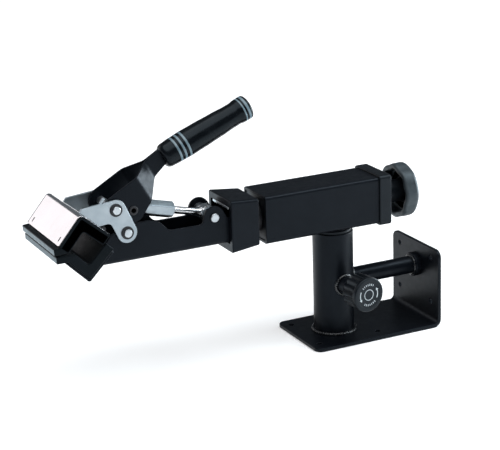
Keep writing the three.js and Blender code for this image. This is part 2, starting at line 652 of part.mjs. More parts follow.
function buildYoke(handle) {
  const [cu, cv] = toHandle(PIVOT_C);
  const [gu, gv] = toHandle(GRIP_START);
  const lean = GRIP_ANGLE - HANDLE_ANGLE;
  const onTang = (along, off) => [
    gu + along * Math.cos(lean) - off * Math.sin(lean),
    gv + along * Math.sin(lean) + off * Math.cos(lean),
  ];
  const tangStart = -4;
  const outline = belt([
    [cu, cv, YOKE_END_R], [YOKE_BEND_1, -17.2, 0], [YOKE_BEND_2, -6.8, 0],
    [...onTang(tangStart, TANG_RISE - TANG_HALF), 0], [...onTang(TANG_REACH, TANG_RISE - TANG_HALF), 0],
    [...onTang(TANG_REACH, TANG_RISE + TANG_HALF), 0], [...onTang(tangStart, TANG_RISE + TANG_HALF), 0],
    [YOKE_BEND_2, 12.9, 0], [YOKE_BEND_1, YOKE_END_R, 0], [0, 0, YOKE_END_R],
  ]);
  outline.holes.push(circleHole(0, 0, PIN_R + RUNNING), circleHole(cu, cv, ROD_R + RUNNING));
  const blank = alongY(outline, -CHANNEL_HALF, CHANNEL_HALF, 6);

  const start = -2 * YOKE_END_R;
  const end = gu + GRIP_LENGTH;
  const span = 3 * YOKE_END_R;
  const innerShift = 1;
  const bent = new THREE.Shape([
    [start, -YOKE_OUT], [YOKE_BEND_1, -YOKE_OUT], [YOKE_BEND_2, -TANG_OUT], [end, -TANG_OUT],
    [end, -TANG_IN], [YOKE_BEND_2 - innerShift, -TANG_IN], [YOKE_BEND_1 - innerShift, -YOKE_IN],
    [start, -YOKE_IN],
  ].map(([u, y]) => new THREE.Vector2(u, y)));
  const frontSheet = alongZ(bent, -span, span);
  const backSheet = frontSheet.clone().rotateX(Math.PI);
  part('yoke_plate_front', common(blank, frontSheet), powderCoat, handle);
  part('yoke_plate_back', common(blank, backSheet), powderCoat, handle);

  const face = YOKE_OUT + GAP;
  part('yoke_rivet', turned([
    [RIVET_BORE, -face - RIVET_HEAD], [RIVET_HEAD_R, -face - RIVET_HEAD], [RIVET_HEAD_R, -face],
    [ROD_R, -face], [ROD_R, face], [RIVET_HEAD_R, face],
    [RIVET_HEAD_R, face + RIVET_HEAD], [RIVET_BORE, face + RIVET_HEAD], [RIVET_BORE, -face - RIVET_HEAD],
  ], 'y').translate(cu, 0, cv), steel, handle);
}

function buildGrip(handle) {
  const [gu, gv] = toHandle(GRIP_START);
  const axis = new THREE.Group();
  axis.position.set(gu, 0, gv);
  axis.rotation.y = HANDLE_ANGLE - GRIP_ANGLE;
  handle.add(axis);
  const body = turned([
    [0, -4], [8, -4], [11.5, -2.2], [12.7, 1], [13.2, 10], [13.6, 24], [13.3, 40], [12.6, 62], [11.8, 78],
    [11.9, 84], [12.7, 90], [12.6, 96.5], [11.7, GRIP_LENGTH - 1], [9, GRIP_LENGTH], [0, GRIP_LENGTH],
  ], 'x', ROUND);
  const mouth = -10;
  const pocketEnd = TANG_REACH + 2 * GAP;
  const pocket = new THREE.BoxGeometry(pocketEnd - mouth, 2 * (TANG_OUT + GAP), 2 * (TANG_HALF + GAP))
    .translate((pocketEnd + mouth) / 2, 0, TANG_RISE);
  part('grip', cut(body, pocket), rubber, axis);
}

function buildHandle() {
  const handle = new THREE.Group();
  handle.position.set(PIVOT_A[0], 0, PIVOT_A[1]);
  handle.rotation.y = -HANDLE_ANGLE;
  stand.add(handle);
  buildYoke(handle);
  buildGrip(handle);
}

// ---------------------------------------------------------------- link
// The adjustable link runs along its own X axis, from the ear pin at the origin to the yoke's rivet.
function buildLink() {
  const dx = PIVOT_E[0] - PIVOT_C[0];
  const dz = PIVOT_E[1] - PIVOT_C[1];
  const length = Math.hypot(dx, dz);
  const link = new THREE.Group();
  link.position.set(PIVOT_E[0], 0, PIVOT_E[1]);
  link.rotation.y = -Math.atan2(dz, dx);
  stand.add(link);

  const hub = rod(ROD_HUB_R, -ROD_HUB_HALF, ROD_HUB_HALF, 'y', ROUND);
  const stem = rod(ROD_R, ROD_END, EAR_PIN_R - ROD_HUB_R, 'x');
  const hubBore = rod(EAR_PIN_R + RUNNING, -ROD_HUB_HALF - OVERCUT, ROD_HUB_HALF + OVERCUT, 'y');
  part('link_rod', cut(join(hub, stem), hubBore), steel, link);

  const flatR = NUT_FLATS / 2;
  const cornerR = flatR / Math.cos(Math.PI / 6);
  const hexagon = rod(cornerR, NUT_FAR, NUT_NEAR, 'x', 6);
  const barrel = turned([
    [0, NUT_FAR], [flatR, NUT_FAR], [cornerR, NUT_FAR + NUT_CHAMFER], [cornerR, NUT_NEAR - NUT_CHAMFER],
    [flatR, NUT_NEAR], [0, NUT_NEAR],
  ], 'x', ROUND);
  part('adjust_nut', cut(
    common(hexagon, barrel),
    rod(ROD_R + RUNNING, NUT_COUNTERBORE - OVERCUT, NUT_NEAR + OVERCUT, 'x'),
    rod(NUT_COUNTERBORE_R, NUT_FAR - OVERCUT, NUT_COUNTERBORE, 'x')), zinc, link);

  const eye = rod(EYE_R, -EYE_HALF, EYE_HALF, 'y').translate(-length, 0, 0);
  const stud = rod(STUD_R, ROD_R + 1 - length, STUD_END, 'x');
  const eyeBore = rod(ROD_R + RUNNING, -EYE_HALF - OVERCUT, EYE_HALF + OVERCUT, 'y')
    .translate(-length, 0, 0);
  part('link_eye', cut(join(eye, stud), eyeBore), steel, link);
}

function buildArm() {
  const arm = new THREE.Group();
  arm.position.z = ARM_Z;
  stand.add(arm);
  buildArmTube(arm);
  buildRearKnob(arm);
}

function buildHead() {
  const head = new THREE.Group();
  head.position.z = ARM_Z;
  stand.add(head);
  buildCollar(head);
  buildChannel(head);
  buildLowerJaw(head);
  const level = new THREE.Group();
  level.position.z = -ARM_Z;
  head.add(level);
  buildJawPin('jaw', PIVOT_B, level);
}

buildBracket(stand);
buildPost(stand);
buildPostKnob(stand);
buildArm();
buildHead();
buildUpperJaw();
buildSidePlates();
buildHandle();
buildLink();

export default stand;
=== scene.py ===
"""The looks of a bench and wall mounted bike repair stand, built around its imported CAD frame.

Pieces are drawn in millimetres in the row frame (+Z up, the arm along X, the clamp at -X) and
scaled to metres when their meshes are made. Places and sizes come from the frame's boxes and joints,
and from the driving values below.
"""
import json
import math

import bmesh
import bpy
from mathutils import Matrix, Vector
from mathutils.geometry import tessellate_polygon


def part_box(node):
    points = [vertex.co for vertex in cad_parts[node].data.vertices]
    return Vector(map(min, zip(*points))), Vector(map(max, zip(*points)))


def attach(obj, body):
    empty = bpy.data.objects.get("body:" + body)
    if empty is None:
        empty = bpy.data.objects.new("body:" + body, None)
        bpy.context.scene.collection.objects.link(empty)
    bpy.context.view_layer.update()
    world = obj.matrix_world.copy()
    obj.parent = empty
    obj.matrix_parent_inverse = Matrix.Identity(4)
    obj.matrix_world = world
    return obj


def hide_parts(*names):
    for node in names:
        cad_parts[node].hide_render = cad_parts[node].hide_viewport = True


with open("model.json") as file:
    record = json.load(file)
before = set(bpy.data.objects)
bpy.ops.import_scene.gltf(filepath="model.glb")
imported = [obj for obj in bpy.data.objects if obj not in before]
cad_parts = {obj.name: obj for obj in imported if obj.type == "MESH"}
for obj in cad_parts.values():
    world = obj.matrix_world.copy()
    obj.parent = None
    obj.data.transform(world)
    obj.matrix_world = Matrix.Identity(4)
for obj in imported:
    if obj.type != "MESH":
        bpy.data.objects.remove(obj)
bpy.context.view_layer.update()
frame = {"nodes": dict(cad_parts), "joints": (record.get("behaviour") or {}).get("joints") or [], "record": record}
add_to_scene = bpy.context.scene.collection.objects.link

# ---------------------------------------------------------------- driving values, in millimetres
MM = 0.001
FINE = 96                # sides of a large round piece
MEDIUM = 64
SMALL = 40
SHARP = math.radians(40)  # edges that turn more than this stay crisp

PLATE = 4.0              # base bracket
BRACKET_BEND = 9.0
BRACKET_CORNER = 8.0
SCREW_HOLE_R = 2.8
BASE_HOLES = ((-35, -31.5), (-35, 31.5), (35, -31.5), (35, 31.5))
WALL_HOLES = ((25, -31.5), (25, 31.5), (74, -31.5), (74, 31.5))
POST_WALL = 3.0
WELD_R = 2.2             # half the width of a weld bead
STUB_TO_POST = 2.3       # from the shoulder of the stub out to the face of the post
BOSS_END = 30.5          # along the post knob's axis, as are the screw's ends and the knob's places
KNOB_SCREW_R = 5.0
KNOB_SCREW_ENDS = (20.7, 47.2)
KNOB_PLACES = (35.5, 39.5, 57.0, 61.5)  # back, end of the neck, start of the face, face
KNOB_TURN = math.radians(8)
KNOB_RIDGES = 14
KNOB_RIDGE_DEPTH = 2.4
REAR_LOBES = 8
REAR_LOBE_DEPTH = 1.7
REAR_KNOB_RIM = 74.0     # the cup's inner rim, along X
BOLT_HOLE_R = 6.2
ARM_CORNER = 3.5
ARM_WALL = 3.0
COLLAR_RIGHT_HALF = 24.5
COLLAR_LEFT_HALF = 27.3
POCKET_HALF = 21.5
POCKET_LOW, POCKET_HIGH = 126.6, 164.8
POCKET_END = -104.0
CHANNEL_SHEET = 3.0
CHANNEL_BEND = 4.5
CHANNEL_TOPS = (149.0, 154.0)  # heights at the front and at the rear
PIN_R = 4.1
CLIP_R = 6.4
EAR_PIN_R = 4.0
EAR_PIN_HEAD_R, EAR_PIN_HEAD = 4.5, 2
ROD_R = 4.0
NUT_TURN = math.radians(27)
NUT_ENDS = (-70.0, -38.2)  # along the link from the ear pin, as are the next two places
NUT_COUNTERBORE = (-55.5, 5.75)  # its floor and its radius
STUD_R, STUD_END = 3.0, -62
NUT_FLAT = 7.5
JAW_LEG = 37.5
UPPER_LEG, LOWER_LEG = 36.4, 31.2
UPPER_SHEET, LOWER_SHEET = 1.8, 2.5
UPPER_BEND, LOWER_BEND = 4.5, 2.5
UPPER_LIP, LOWER_LIP = (31.2, 24.3), (32.1, 20.4)  # how far the pad's lip reaches, and its top
PAD_THICK = 10.0
LIP_HEIGHT = 6.8
UPPER_APEX = Vector((-293.1, 0, 191.2))
LOWER_APEX = Vector((-287.8, 0, 122.3))
UPPER_TILT = math.radians(4.5)
SLOT_FROM_EDGE, SLOT_FROM_SIDE = 6, 7.5
SIDE_SHEET = 2.5
FINGER_LEAN = math.radians(41)
FINGER_PLACE = (-262.4, 193.6)
FINGER_HALF = (1.1, 3.5)
TIE_ROD_ALONG = 41
YOKE_OUT, YOKE_SHEET = 20.0, 2.5
YOKE_END_R = 12.4
YOKE_BENDS = (35.2, 54.0)
TANG_OUT = 2.65
TANG_START = -4
TANG_HALF, TANG_RISE, TANG_REACH = 8.2, 1.1, 42.0
HANDLE_ANGLE = math.radians(29.5)
GRIP_START = Vector((-185.5, 0, 222.2))
GRIP_ANGLE = math.radians(22.4)
GRIP_LENGTH = 99.4
GRIP_RINGS = ((11.7, 2.3), (17.0, 2.3), (22.4, 2.3), (90.4, 1.6), (94.6, 2.6))  # middle, width

VIEW_AZIMUTH, VIEW_ELEVATION, VIEW_ROLL = math.radians(-25.642), math.radians(17.617), -0.0338
VIEW_PLACE = (-0.794882, -1.456908, 0.648573)  # in metres
VIEW_LENS = 119.66
NOISE_LOW, NOISE_HIGH = 0.3, 0.7  # most of a noise lies between these


def box(node):
    """The lowest and highest corner of a CAD node, in millimetres."""
    low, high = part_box(node)
    return low / MM, high / MM


def pivot(joint):
    """The place of a joint, in millimetres."""
    for entry in frame["joints"]:
        if entry["name"] == joint:
            return Vector(entry["pos_m"]) / MM
    raise KeyError(joint)


PIVOT_A = pivot("handle_lift")
PIVOT_B = pivot("jaw_open")
PIVOT_C = pivot("eye_swing")
PIVOT_E = pivot("link_swing")
ARM_Z = pivot("head_roll").z
BRACE_Z = pivot("post_knob_spin").z


# ---------------------------------------------------------------- materials
def set_inputs(node, values):
    for name, value in values.items():
        node.inputs[name].default_value = value


class Finish:
    """A principled material whose varying inputs are built from noise in the piece's own space.
    Each of shades, gloss and relief adds one noise and returns the finish. A noise has so many
    features per metre, a detail, and perhaps a stretch that scales it along X, Y and Z."""

    def __init__(self, name, colour, metallic, roughness, specular=0.5, tint=(1, 1, 1)):
        self.material = bpy.data.materials.new(name)
        self.material.use_nodes = True
        self.nodes = self.material.node_tree.nodes
        self.links = self.material.node_tree.links
        self.shader = self.nodes["Principled BSDF"]
        set_inputs(self.shader, {
            "Base Color": (*colour, 1), "Metallic": metallic, "Roughness": roughness,
            "Specular IOR Level": specular, "Specular Tint": (*tint, 1),
        })
        self.coordinates = self.nodes.new("ShaderNodeTexCoord").outputs["Object"]
        self.normal = None

    def noise(self, scale, detail, stretch=None):
        texture = self.nodes.new("ShaderNodeTexNoise")
        set_inputs(texture, {"Scale": scale, "Detail": detail})
        source = self.coordinates
        if stretch:
            mapping = self.nodes.new("ShaderNodeMapping")
            set_inputs(mapping, {"Scale": stretch})
            self.links.new(source, mapping.inputs["Vector"])
            source = mapping.outputs["Vector"]
        self.links.new(source, texture.inputs["Vector"])
        return texture.outputs["Fac"]

    def shades(self, scale, detail, first, second, from_low=NOISE_LOW, from_high=NOISE_HIGH):
        """Colour that varies between two colours."""
        ramp = self.nodes.new("ShaderNodeValToRGB")
        for number, (place, colour) in enumerate(((from_low, first), (from_high, second))):
            ramp.color_ramp.elements[number].position = place
            ramp.color_ramp.elements[number].color = (*colour, 1)
        self.links.new(self.noise(scale, detail), ramp.inputs["Fac"])
        self.links.new(ramp.outputs["Color"], self.shader.inputs["Base Color"])
        return self

    def gloss(self, scale, detail, low, high, stretch=None):
        """Roughness that varies from low to high."""
        node = self.nodes.new("ShaderNodeMapRange")
        set_inputs(node, {"From Min": NOISE_LOW, "From Max": NOISE_HIGH, "To Min": low, "To Max": high})
        self.links.new(self.noise(scale, detail, stretch), node.inputs["Value"])
        self.links.new(node.outputs["Result"], self.shader.inputs["Roughness"])
        return self

    def relief(self, scale, detail, depth, strength, stretch=None):
        """A bump of so many millimetres; several reliefs stack."""
        node = self.nodes.new("ShaderNodeBump")
        set_inputs(node, {"Strength": strength, "Distance": depth * MM})
        self.links.new(self.noise(scale, detail, stretch), node.inputs["Height"])
        if self.normal:
            self.links.new(self.normal, node.inputs["Normal"])
        self.normal = node.outputs["Normal"]
        self.links.new(self.normal, self.shader.inputs["Normal"])
        return self


FINISHES = {
    "powder_coat": Finish("powder_coat", (0.0026, 0.0034, 0.0050), 0.0, 0.36, 0.13, (0.72, 0.85, 1.0))
    .shades(35, 2, (0.0020, 0.0027, 0.0042), (0.0032, 0.0042, 0.0060))
    .gloss(160, 4, 0.30, 0.42).relief(900, 2, 0.05, 0.35).relief(2600, 1, 0.02, 0.35),
    "zinc_plate": Finish("zinc_plate", (0.33, 0.38, 0.415), 1.0, 0.38)
    .shades(70, 4, (0.30, 0.35, 0.385), (0.365, 0.415, 0.45))
    .gloss(240, 4, 0.28, 0.46).relief(700, 3, 0.02, 0.4, (1, 1, 4)),
    "polished_steel": Finish("polished_plate", (0.86, 0.835, 0.845), 1.0, 0.2)
    .shades(40, 3, (0.84, 0.815, 0.825), (0.88, 0.855, 0.865))
    .gloss(60, 5, 0.17, 0.25, (1, 14, 1)).relief(500, 2, 0.004, 0.25, (1, 12, 1)),
    "bright_steel": Finish("bright_steel", (0.62, 0.64, 0.66), 1.0, 0.18)
    .shades(120, 3, (0.56, 0.58, 0.60), (0.68, 0.70, 0.72))
    .gloss(300, 3, 0.12, 0.28).relief(1500, 2, 0.006, 0.3),
    "brass": Finish("brass", (0.60, 0.42, 0.15), 1.0, 0.3)
    .gloss(300, 3, 0.22, 0.42).relief(1200, 2, 0.01, 0.3),
    "black_oxide": Finish("black_oxide", (0.010, 0.011, 0.014), 0.35, 0.42)
    .gloss(260, 4, 0.3, 0.5).shades(150, 3, (0.007, 0.008, 0.010), (0.016, 0.017, 0.021))
    .relief(1800, 2, 0.01, 0.4),
    "black_rubber": Finish("black_rubber", (0.0018, 0.0024, 0.0030), 0.0, 0.30, 0.1, (0.66, 0.86, 1.0))
    .shades(70, 4, (0.0014, 0.0019, 0.0025), (0.0024, 0.0031, 0.0040))
    .gloss(200, 4, 0.27, 0.38).relief(900, 3, 0.03, 0.4, (6, 1, 6)),
    "black_plastic": Finish("moulded_plastic", (0.0030, 0.0040, 0.0054), 0.0, 0.34, 0.2, (0.75, 0.88, 1.0))
    .shades(50, 3, (0.0024, 0.0033, 0.0045), (0.0038, 0.0050, 0.0066))
    .gloss(180, 4, 0.30, 0.42).relief(1700, 2, 0.04, 0.4),
}
set_inputs(FINISHES["black_rubber"].shader, {
    "Sheen Weight": 0.05, "Sheen Roughness": 0.3, "Sheen Tint": (0.70, 0.88, 1.0, 1),
})
GRIP = (
    Finish("grip_rubber", (0.0026, 0.0034, 0.0045), 0.0, 0.24, 0.16, (0.72, 0.88, 1.0))
    .gloss(130, 4, 0.20, 0.31).shades(60, 3, (0.0019, 0.0026, 0.0036), (0.0034, 0.0043, 0.0056))
    .relief(2200, 2, 0.015, 0.35))
RING = (
    Finish("ring_grey", (0.115, 0.175, 0.21), 0.0, 0.3, 0.6)
    .shades(120, 3, (0.100, 0.155, 0.190), (0.135, 0.200, 0.235))
    .gloss(200, 3, 0.26, 0.38).relief(1800, 2, 0.01, 0.3))
# The rear knob: a greyer, coarser moulding.
COARSE = (
    Finish("coarse_plastic", (0.015, 0.020, 0.024), 0.0, 0.42, 0.6, (0.78, 0.92, 1.0))
    .shades(90, 5, (0.011, 0.015, 0.018), (0.019, 0.025, 0.030))
    .gloss(220, 4, 0.42, 0.62).relief(1100, 4, 0.12, 0.5))
# The faces of the pins and of the wear strip.
SATIN = (
    Finish("satin_steel", (0.46, 0.50, 0.53), 1.0, 0.34)
    .shades(140, 3, (0.41, 0.45, 0.48), (0.51, 0.545, 0.57))
    .gloss(300, 3, 0.28, 0.42).relief(1500, 2, 0.008, 0.3))
# The same coat over a weld, where it is smoother and catches the light.
WELD = (
    Finish("weld_bead", (0.006, 0.008, 0.010), 0.25, 0.22, 0.7)
    .shades(160, 2, (0.004, 0.005, 0.007), (0.016, 0.020, 0.024), 0.45, 0.75)
    .gloss(200, 2, 0.18, 0.34).relief(600, 2, 0.04, 0.4))
PRINT = (
    Finish("pad_print", (0.42, 0.47, 0.50), 0.0, 0.5)
    .shades(900, 3, (0.30, 0.34, 0.37), (0.52, 0.57, 0.60)))


# ---------------------------------------------------------------- meshes
class Solid:
    """Vertices in millimetres and faces; solids add up to one mesh."""

    def __init__(self, vertices=(), faces=()):
        self.vertices = [Vector(v) for v in vertices]
        self.faces = [tuple(f) for f in faces]

    def __add__(self, other):
        shift = len(self.vertices)
        moved = [tuple(i + shift for i in face) for face in other.faces]
        return Solid(self.vertices + other.vertices, self.faces + moved)

    def placed(self, matrix):
        return Solid([matrix @ v for v in self.vertices], self.faces)

    def bent(self, rule):
        return Solid([Vector(rule(v)) for v in self.vertices], self.faces)

    def mirrored_y(self):
        flipped = [Vector((v.x, -v.y, v.z)) for v in self.vertices]
        return Solid(flipped, [tuple(reversed(face)) for face in self.faces])

    def sliced(self, axis, places):
        """Cuts the faces, not the solid, along planes across an axis, so that it can bend there."""
        mesh = bmesh.new()
        for v in self.vertices:
            mesh.verts.new(v)
        mesh.verts.ensure_lookup_table()
        for face in self.faces:
            mesh.faces.new([mesh.verts[i] for i in face])
        normal = [0.0, 0.0, 0.0]
        normal[axis] = 1.0
        for place in places:
            point = [0.0, 0.0, 0.0]
            point[axis] = place
            geometry = mesh.verts[:] + mesh.edges[:] + mesh.faces[:]
            bmesh.ops.bisect_plane(mesh, geom=geometry, dist=1e-5, plane_co=point, plane_no=normal)
        mesh.verts.index_update()
        faces = [[v.index for v in face.verts] for face in mesh.faces]
        result = Solid([v.co.copy() for v in mesh.verts], faces)
        mesh.free()
        return result


def loft(loops, closed=False):
    """Joins rings of points; an open loft is capped at both ends."""
    count = len(loops[0])
    vertices = [point for loop in loops for point in loop]
    faces = []
    for k in range(len(loops) if closed else len(loops) - 1):
        here = k * count
        there = (k + 1) % len(loops) * count
        for i in range(count):
            j = (i + 1) % count
            faces.append((here + i, here + j, there + j, there + i))
    if not closed:
        faces.append(tuple(range(count - 1, -1, -1)))
        faces.append(tuple(range(len(vertices) - count, len(vertices))))
    return Solid(vertices, faces)


def spin(profile, sides=MEDIUM, closed=False, shape=None):
    """A round solid about X from (distance along X, radius) points, counted so that it runs out from
    the axis, along and back in. shape(angle, distance, radius) may change the radius."""
    loops = []
    for distance, radius in profile:
        loop = []
        for i in range(sides):
            angle = math.tau * i / sides
            r = shape(angle, distance, radius) if shape else radius
            loop.append((distance, r * math.cos(angle), r * math.sin(angle)))
        loops.append(loop)
    return loft(loops, closed)


def filleted(corners, steps=5):
    """A polyline with round corners. Each corner is (a, b) or (a, b, radius)."""
    path = []
    count = len(corners)
    for i, corner in enumerate(corners):
        here = Vector(corner[:2])
        radius = corner[2] if len(corner) > 2 else 0
        if not radius or i in (0, count - 1):
            path.append(here)
            continue
        path += corner_arc(Vector(corners[i - 1][:2]), here, Vector(corners[i + 1][:2]), radius, steps)
    return path


def filleted_loop(corners, steps=5):
    path = []
    count = len(corners)
    for i, corner in enumerate(corners):
        here = Vector(corner[:2])
        radius = corner[2] if len(corner) > 2 else 0
        before = Vector(corners[i - 1][:2])
        after = Vector(corners[(i + 1) % count][:2])
        path += corner_arc(before, here, after, radius, steps) if radius else [here]
    return path


def corner_arc(before, here, after, radius, steps):
    to_before = (before - here).normalized()
    to_after = (after - here).normalized()
    half = to_before.angle(to_after) / 2
    setback = radius / math.tan(half)
    centre = here + (to_before + to_after).normalized() * radius / math.sin(half)
    start = here + to_before * setback - centre
    end = here + to_after * setback - centre
    turn = start.angle_signed(end)
    points = []
    for k in range(steps + 1):
        angle = -turn * k / steps
        points.append(centre + Matrix.Rotation(angle, 2) @ start)
    return points


def belt(circles, step=0.25):
    """The outline tangent round a chain of circles (x, y, radius), counter-clockwise.
    A negative radius is a hollow corner and a zero radius a sharp one."""
    count = len(circles)
    normals = []
    for i, (x, y, r) in enumerate(circles):
        next_x, next_y, next_r = circles[(i + 1) % count]
        along = Vector((next_x - x, next_y - y))
        distance = along.length
        along /= distance
        sine = (r - next_r) / distance
        right = Vector((along.y, -along.x))
        normals.append(along * sine + right * math.sqrt(1 - sine * sine))
    path = []
    for i, (x, y, r) in enumerate(circles):
        before, after = normals[i - 1], normals[i]
        centre = Vector((x, y))
        if r == 0:
            path.append(centre)
            continue
        turn = -before.angle_signed(after)
        steps = max(2, round(abs(turn) / step))
        for k in range(steps + 1):
            path.append(centre + Matrix.Rotation(turn * k / steps, 2) @ (before * r))
    return path


def circle(x, y, r, sides=SMALL):
    return [Vector((x + r * math.cos(a), y + r * math.sin(a)))
            for a in (math.tau * i / sides for i in range(sides))]


def rounded_rectangle(x0, y0, x1, y1, r, steps=6):
    return filleted_loop([(x0, y0, r), (x1, y0, r), (x1, y1, r), (x0, y1, r)], steps)


def inset(outline, distance):
    """A loop moved to the left of its direction: into the plate, whether it is the counter-clockwise
    outline or the clockwise edge of a hole."""
    moved = []
    count = len(outline)
    for i, here in enumerate(outline):
        before = (here - outline[i - 1]).normalized()
        after = (outline[(i + 1) % count] - here).normalized()
        left_before = Vector((-before.y, before.x))
        left_after = Vector((-after.y, after.x))
        middle = (left_before + left_after).normalized()
        moved.append(here + middle * distance / max(0.5, middle.dot(left_before)))
    return moved


def plate(outline, low, high, bevel, holes=(), hole_bevel=None, steps=3):
    """A flat plate drawn in X and Y, from z = low to high, with its edges rounded."""
    hole_bevel = bevel if hole_bevel is None else hole_bevel
    solid = Solid()
    tops, bottoms = [], []
    for number, ring in enumerate([outline, *holes]):
        size = hole_bevel if number else bevel
        loops = []
        for k in range(steps + 1):
            angle = math.pi / 2 * k / steps
            path = inset(ring, size * (1 - math.sin(angle)))
            loops.append([(p.x, p.y, low + size * (1 - math.cos(angle))) for p in path])
        for k in range(steps, -1, -1):
            angle = math.pi / 2 * k / steps
            path = inset(ring, size * (1 - math.sin(angle)))
            loops.append([(p.x, p.y, high - size * (1 - math.cos(angle))) for p in path])
        side = loft(loops)
        side.faces = side.faces[:-2]
        if number:
            side.faces = [tuple(reversed(f)) for f in side.faces]
        start = len(solid.vertices)
        solid = solid + side
        count = len(ring)
        bottoms.append(list(range(start, start + count)))
        tops.append(list(range(start + len(side.vertices) - count, start + len(side.vertices))))
    for rings, upward in ((bottoms, False), (tops, True)):
        order = [i for ring in rings for i in ring]
        flat = [[solid.vertices[i].xy.to_3d() for i in ring] for ring in rings]
        for triangle in tessellate_polygon(flat):
            a, b, c = (solid.vertices[order[t]].xy for t in triangle)
            corners = tuple(order[t] for t in triangle)
            facing_up = (b - a).cross(c - a) > 0
            solid.faces.append(corners if facing_up == upward else corners[::-1])
    return solid


# A plate drawn in X and Z stands in the XZ plane: its thickness runs from y = low to y = high.
STAND_UP = Matrix(((1, 0, 0, 0), (0, 0, 1, 0), (0, 1, 0, 0), (0, 0, 0, 1)))
# A plate drawn in Y and Z faces along X.
FACE_X = Matrix(((0, 0, 1, 0), (1, 0, 0, 0), (0, 1, 0, 0), (0, 0, 0, 1)))


def standing(solid):
    turned = solid.placed(STAND_UP)
    turned.faces = [tuple(reversed(face)) for face in turned.faces]
    return turned


def axes(origin, along, up=(0, 0, 1)):
    """A matrix that puts X along a direction, from an origin."""
    x = Vector(along).normalized()
    z = (Vector(up) - x * x.dot(Vector(up))).normalized()
    y = z.cross(x)
    matrix = Matrix((x, y, z)).transposed().to_4x4()
    matrix.translation = Vector(origin)
    return matrix


UPRIGHT = axes((0, 0, 0), (0, 0, 1), (1, 0, 0))
BRACE_LINE = axes((0, 0, BRACE_Z), (1, 0, 0))
ARM_LINE = axes((0, 0, ARM_Z), (1, 0, 0))
ACROSS_ARM = Matrix.Translation((0, 0, ARM_Z)) @ FACE_X


def fold(distance, depth, start, outer, sheet, angle):
    """Where a point of a flat sheet goes when the sheet is bent past start. depth is measured from
    the face that ends up outside, and outer is that face's bend radius."""
    neutral = outer - sheet / 2
    if distance <= start:
        return distance, depth
    turn = min((distance - start) / neutral, angle)
    run = max(0.0, distance - start - angle * neutral)
    reach = start + (outer - depth) * math.sin(turn) + run * math.cos(turn)
    rise = outer - (outer - depth) * math.cos(turn) + run * math.sin(turn)
    return reach, rise


def bend_length(outer, sheet, angle=math.pi / 2):
    return (outer - sheet / 2) * angle


def flat_ring(low, high, inner, outer, soft, sides=MEDIUM, steps=5):
    """A ring about X with its outer edges rounded."""
    corners = [(low, inner), (low, outer, soft), (high, outer, soft), (high, inner)]
    return spin(filleted_loop(corners, steps), sides, closed=True)


def from_line(origin, angle):
    """A rule that turns a distance along a sloping line, and one above it, into X and Z."""
    cosine, sine = math.cos(angle), math.sin(angle)
    return lambda along, off: (origin.x + along * cosine - off * sine, origin.z + along * sine + off * cosine)


def between(low, high, count):
    return [low + (high - low) * k / count for k in range(count + 1)]


def bead(path, radius, pitch=2.4, sides=12):
    """A weld bead along a closed path, its ripples one pitch apart."""
    count = len(path)
    loops = []
    travelled = 0.0
    for i, here in enumerate(path):
        ahead = path[(i + 1) % count] - path[i - 1]
        tangent = ahead.normalized()
        travelled += (here - path[i - 1]).length if i else 0
        ripple = abs(math.sin(math.pi * travelled / pitch)) ** 0.6
        size = radius * (0.80 + 0.20 * ripple)
        reference = Vector((0.31, 0.77, 0.55))
        across = (reference - tangent * reference.dot(tangent)).normalized()
        other = tangent.cross(across)
        loops.append([here + (across * math.cos(a) + other * math.sin(a)) * size
                      for a in (math.tau * k / sides for k in range(sides))])
    return loft(loops, closed=True)


def show(name, solid, body, slot, replaced=(), finish=None, weighted=True):
    """Makes the solid a piece of the visual model."""
    mesh = bpy.data.meshes.new(name)
    mesh.from_pydata([v * MM for v in solid.vertices], [], solid.faces)
    work = bmesh.new()
    work.from_mesh(mesh)
    bmesh.ops.remove_doubles(work, verts=work.verts, dist=1e-7)
    bmesh.ops.recalc_face_normals(work, faces=work.faces)
    work.to_mesh(mesh)
    work.free()
    mesh.shade_smooth()
    mesh.set_sharp_from_angle(angle=SHARP)
    mesh.materials.append((finish or FINISHES[slot]).material)
    piece = bpy.data.objects.new(name, mesh)
    add_to_scene(piece)
    if weighted:
        modifier = piece.modifiers.new("even_shading", "WEIGHTED_NORMAL")
        modifier.keep_sharp = True
    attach(piece, body)
    if replaced:
        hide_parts(*replaced)
    return piece


# ---------------------------------------------------------------- base
def make_bracket():
    low, high = box("base_bracket")
    half = high.y
    start = high.x - BRACKET_BEND
    arc = bend_length(BRACKET_BEND, PLATE)
    end = start + arc + high.z - BRACKET_BEND
    outline = rounded_rectangle(low.x, -half, end, half, BRACKET_CORNER, 10)
    holes = [circle(x, y, SCREW_HOLE_R) for x, y in BASE_HOLES]
    holes += [circle(start + arc + z - BRACKET_BEND, y, SCREW_HOLE_R) for z, y in WALL_HOLES]
    flat = plate(outline, 0, PLATE, 0.7, [hole[::-1] for hole in holes], 0.5)
    flat = flat.sliced(0, between(start, start + arc, 12))

    def rule(v):
        reach, rise = fold(v.x, v.z, start, BRACKET_BEND, PLATE, math.pi / 2)
        return reach, v.y, rise

    show("bracket", flat.bent(rule), "base", "powder_coat", ["base_bracket"])


def saddle(tube_r, post_r, direction, height, count=90):
    """The line on the post where a tube of that radius meets it."""
    along = Vector(direction)
    across = Vector((-along.y, along.x, 0))
    points = []
    for i in range(count):
        angle = math.tau * i / count
        side = tube_r * math.sin(angle)
        reach = math.sqrt(post_r ** 2 - side ** 2)
        points.append(along * reach + across * side + Vector((0, 0, height + tube_r * math.cos(angle))))
    return points


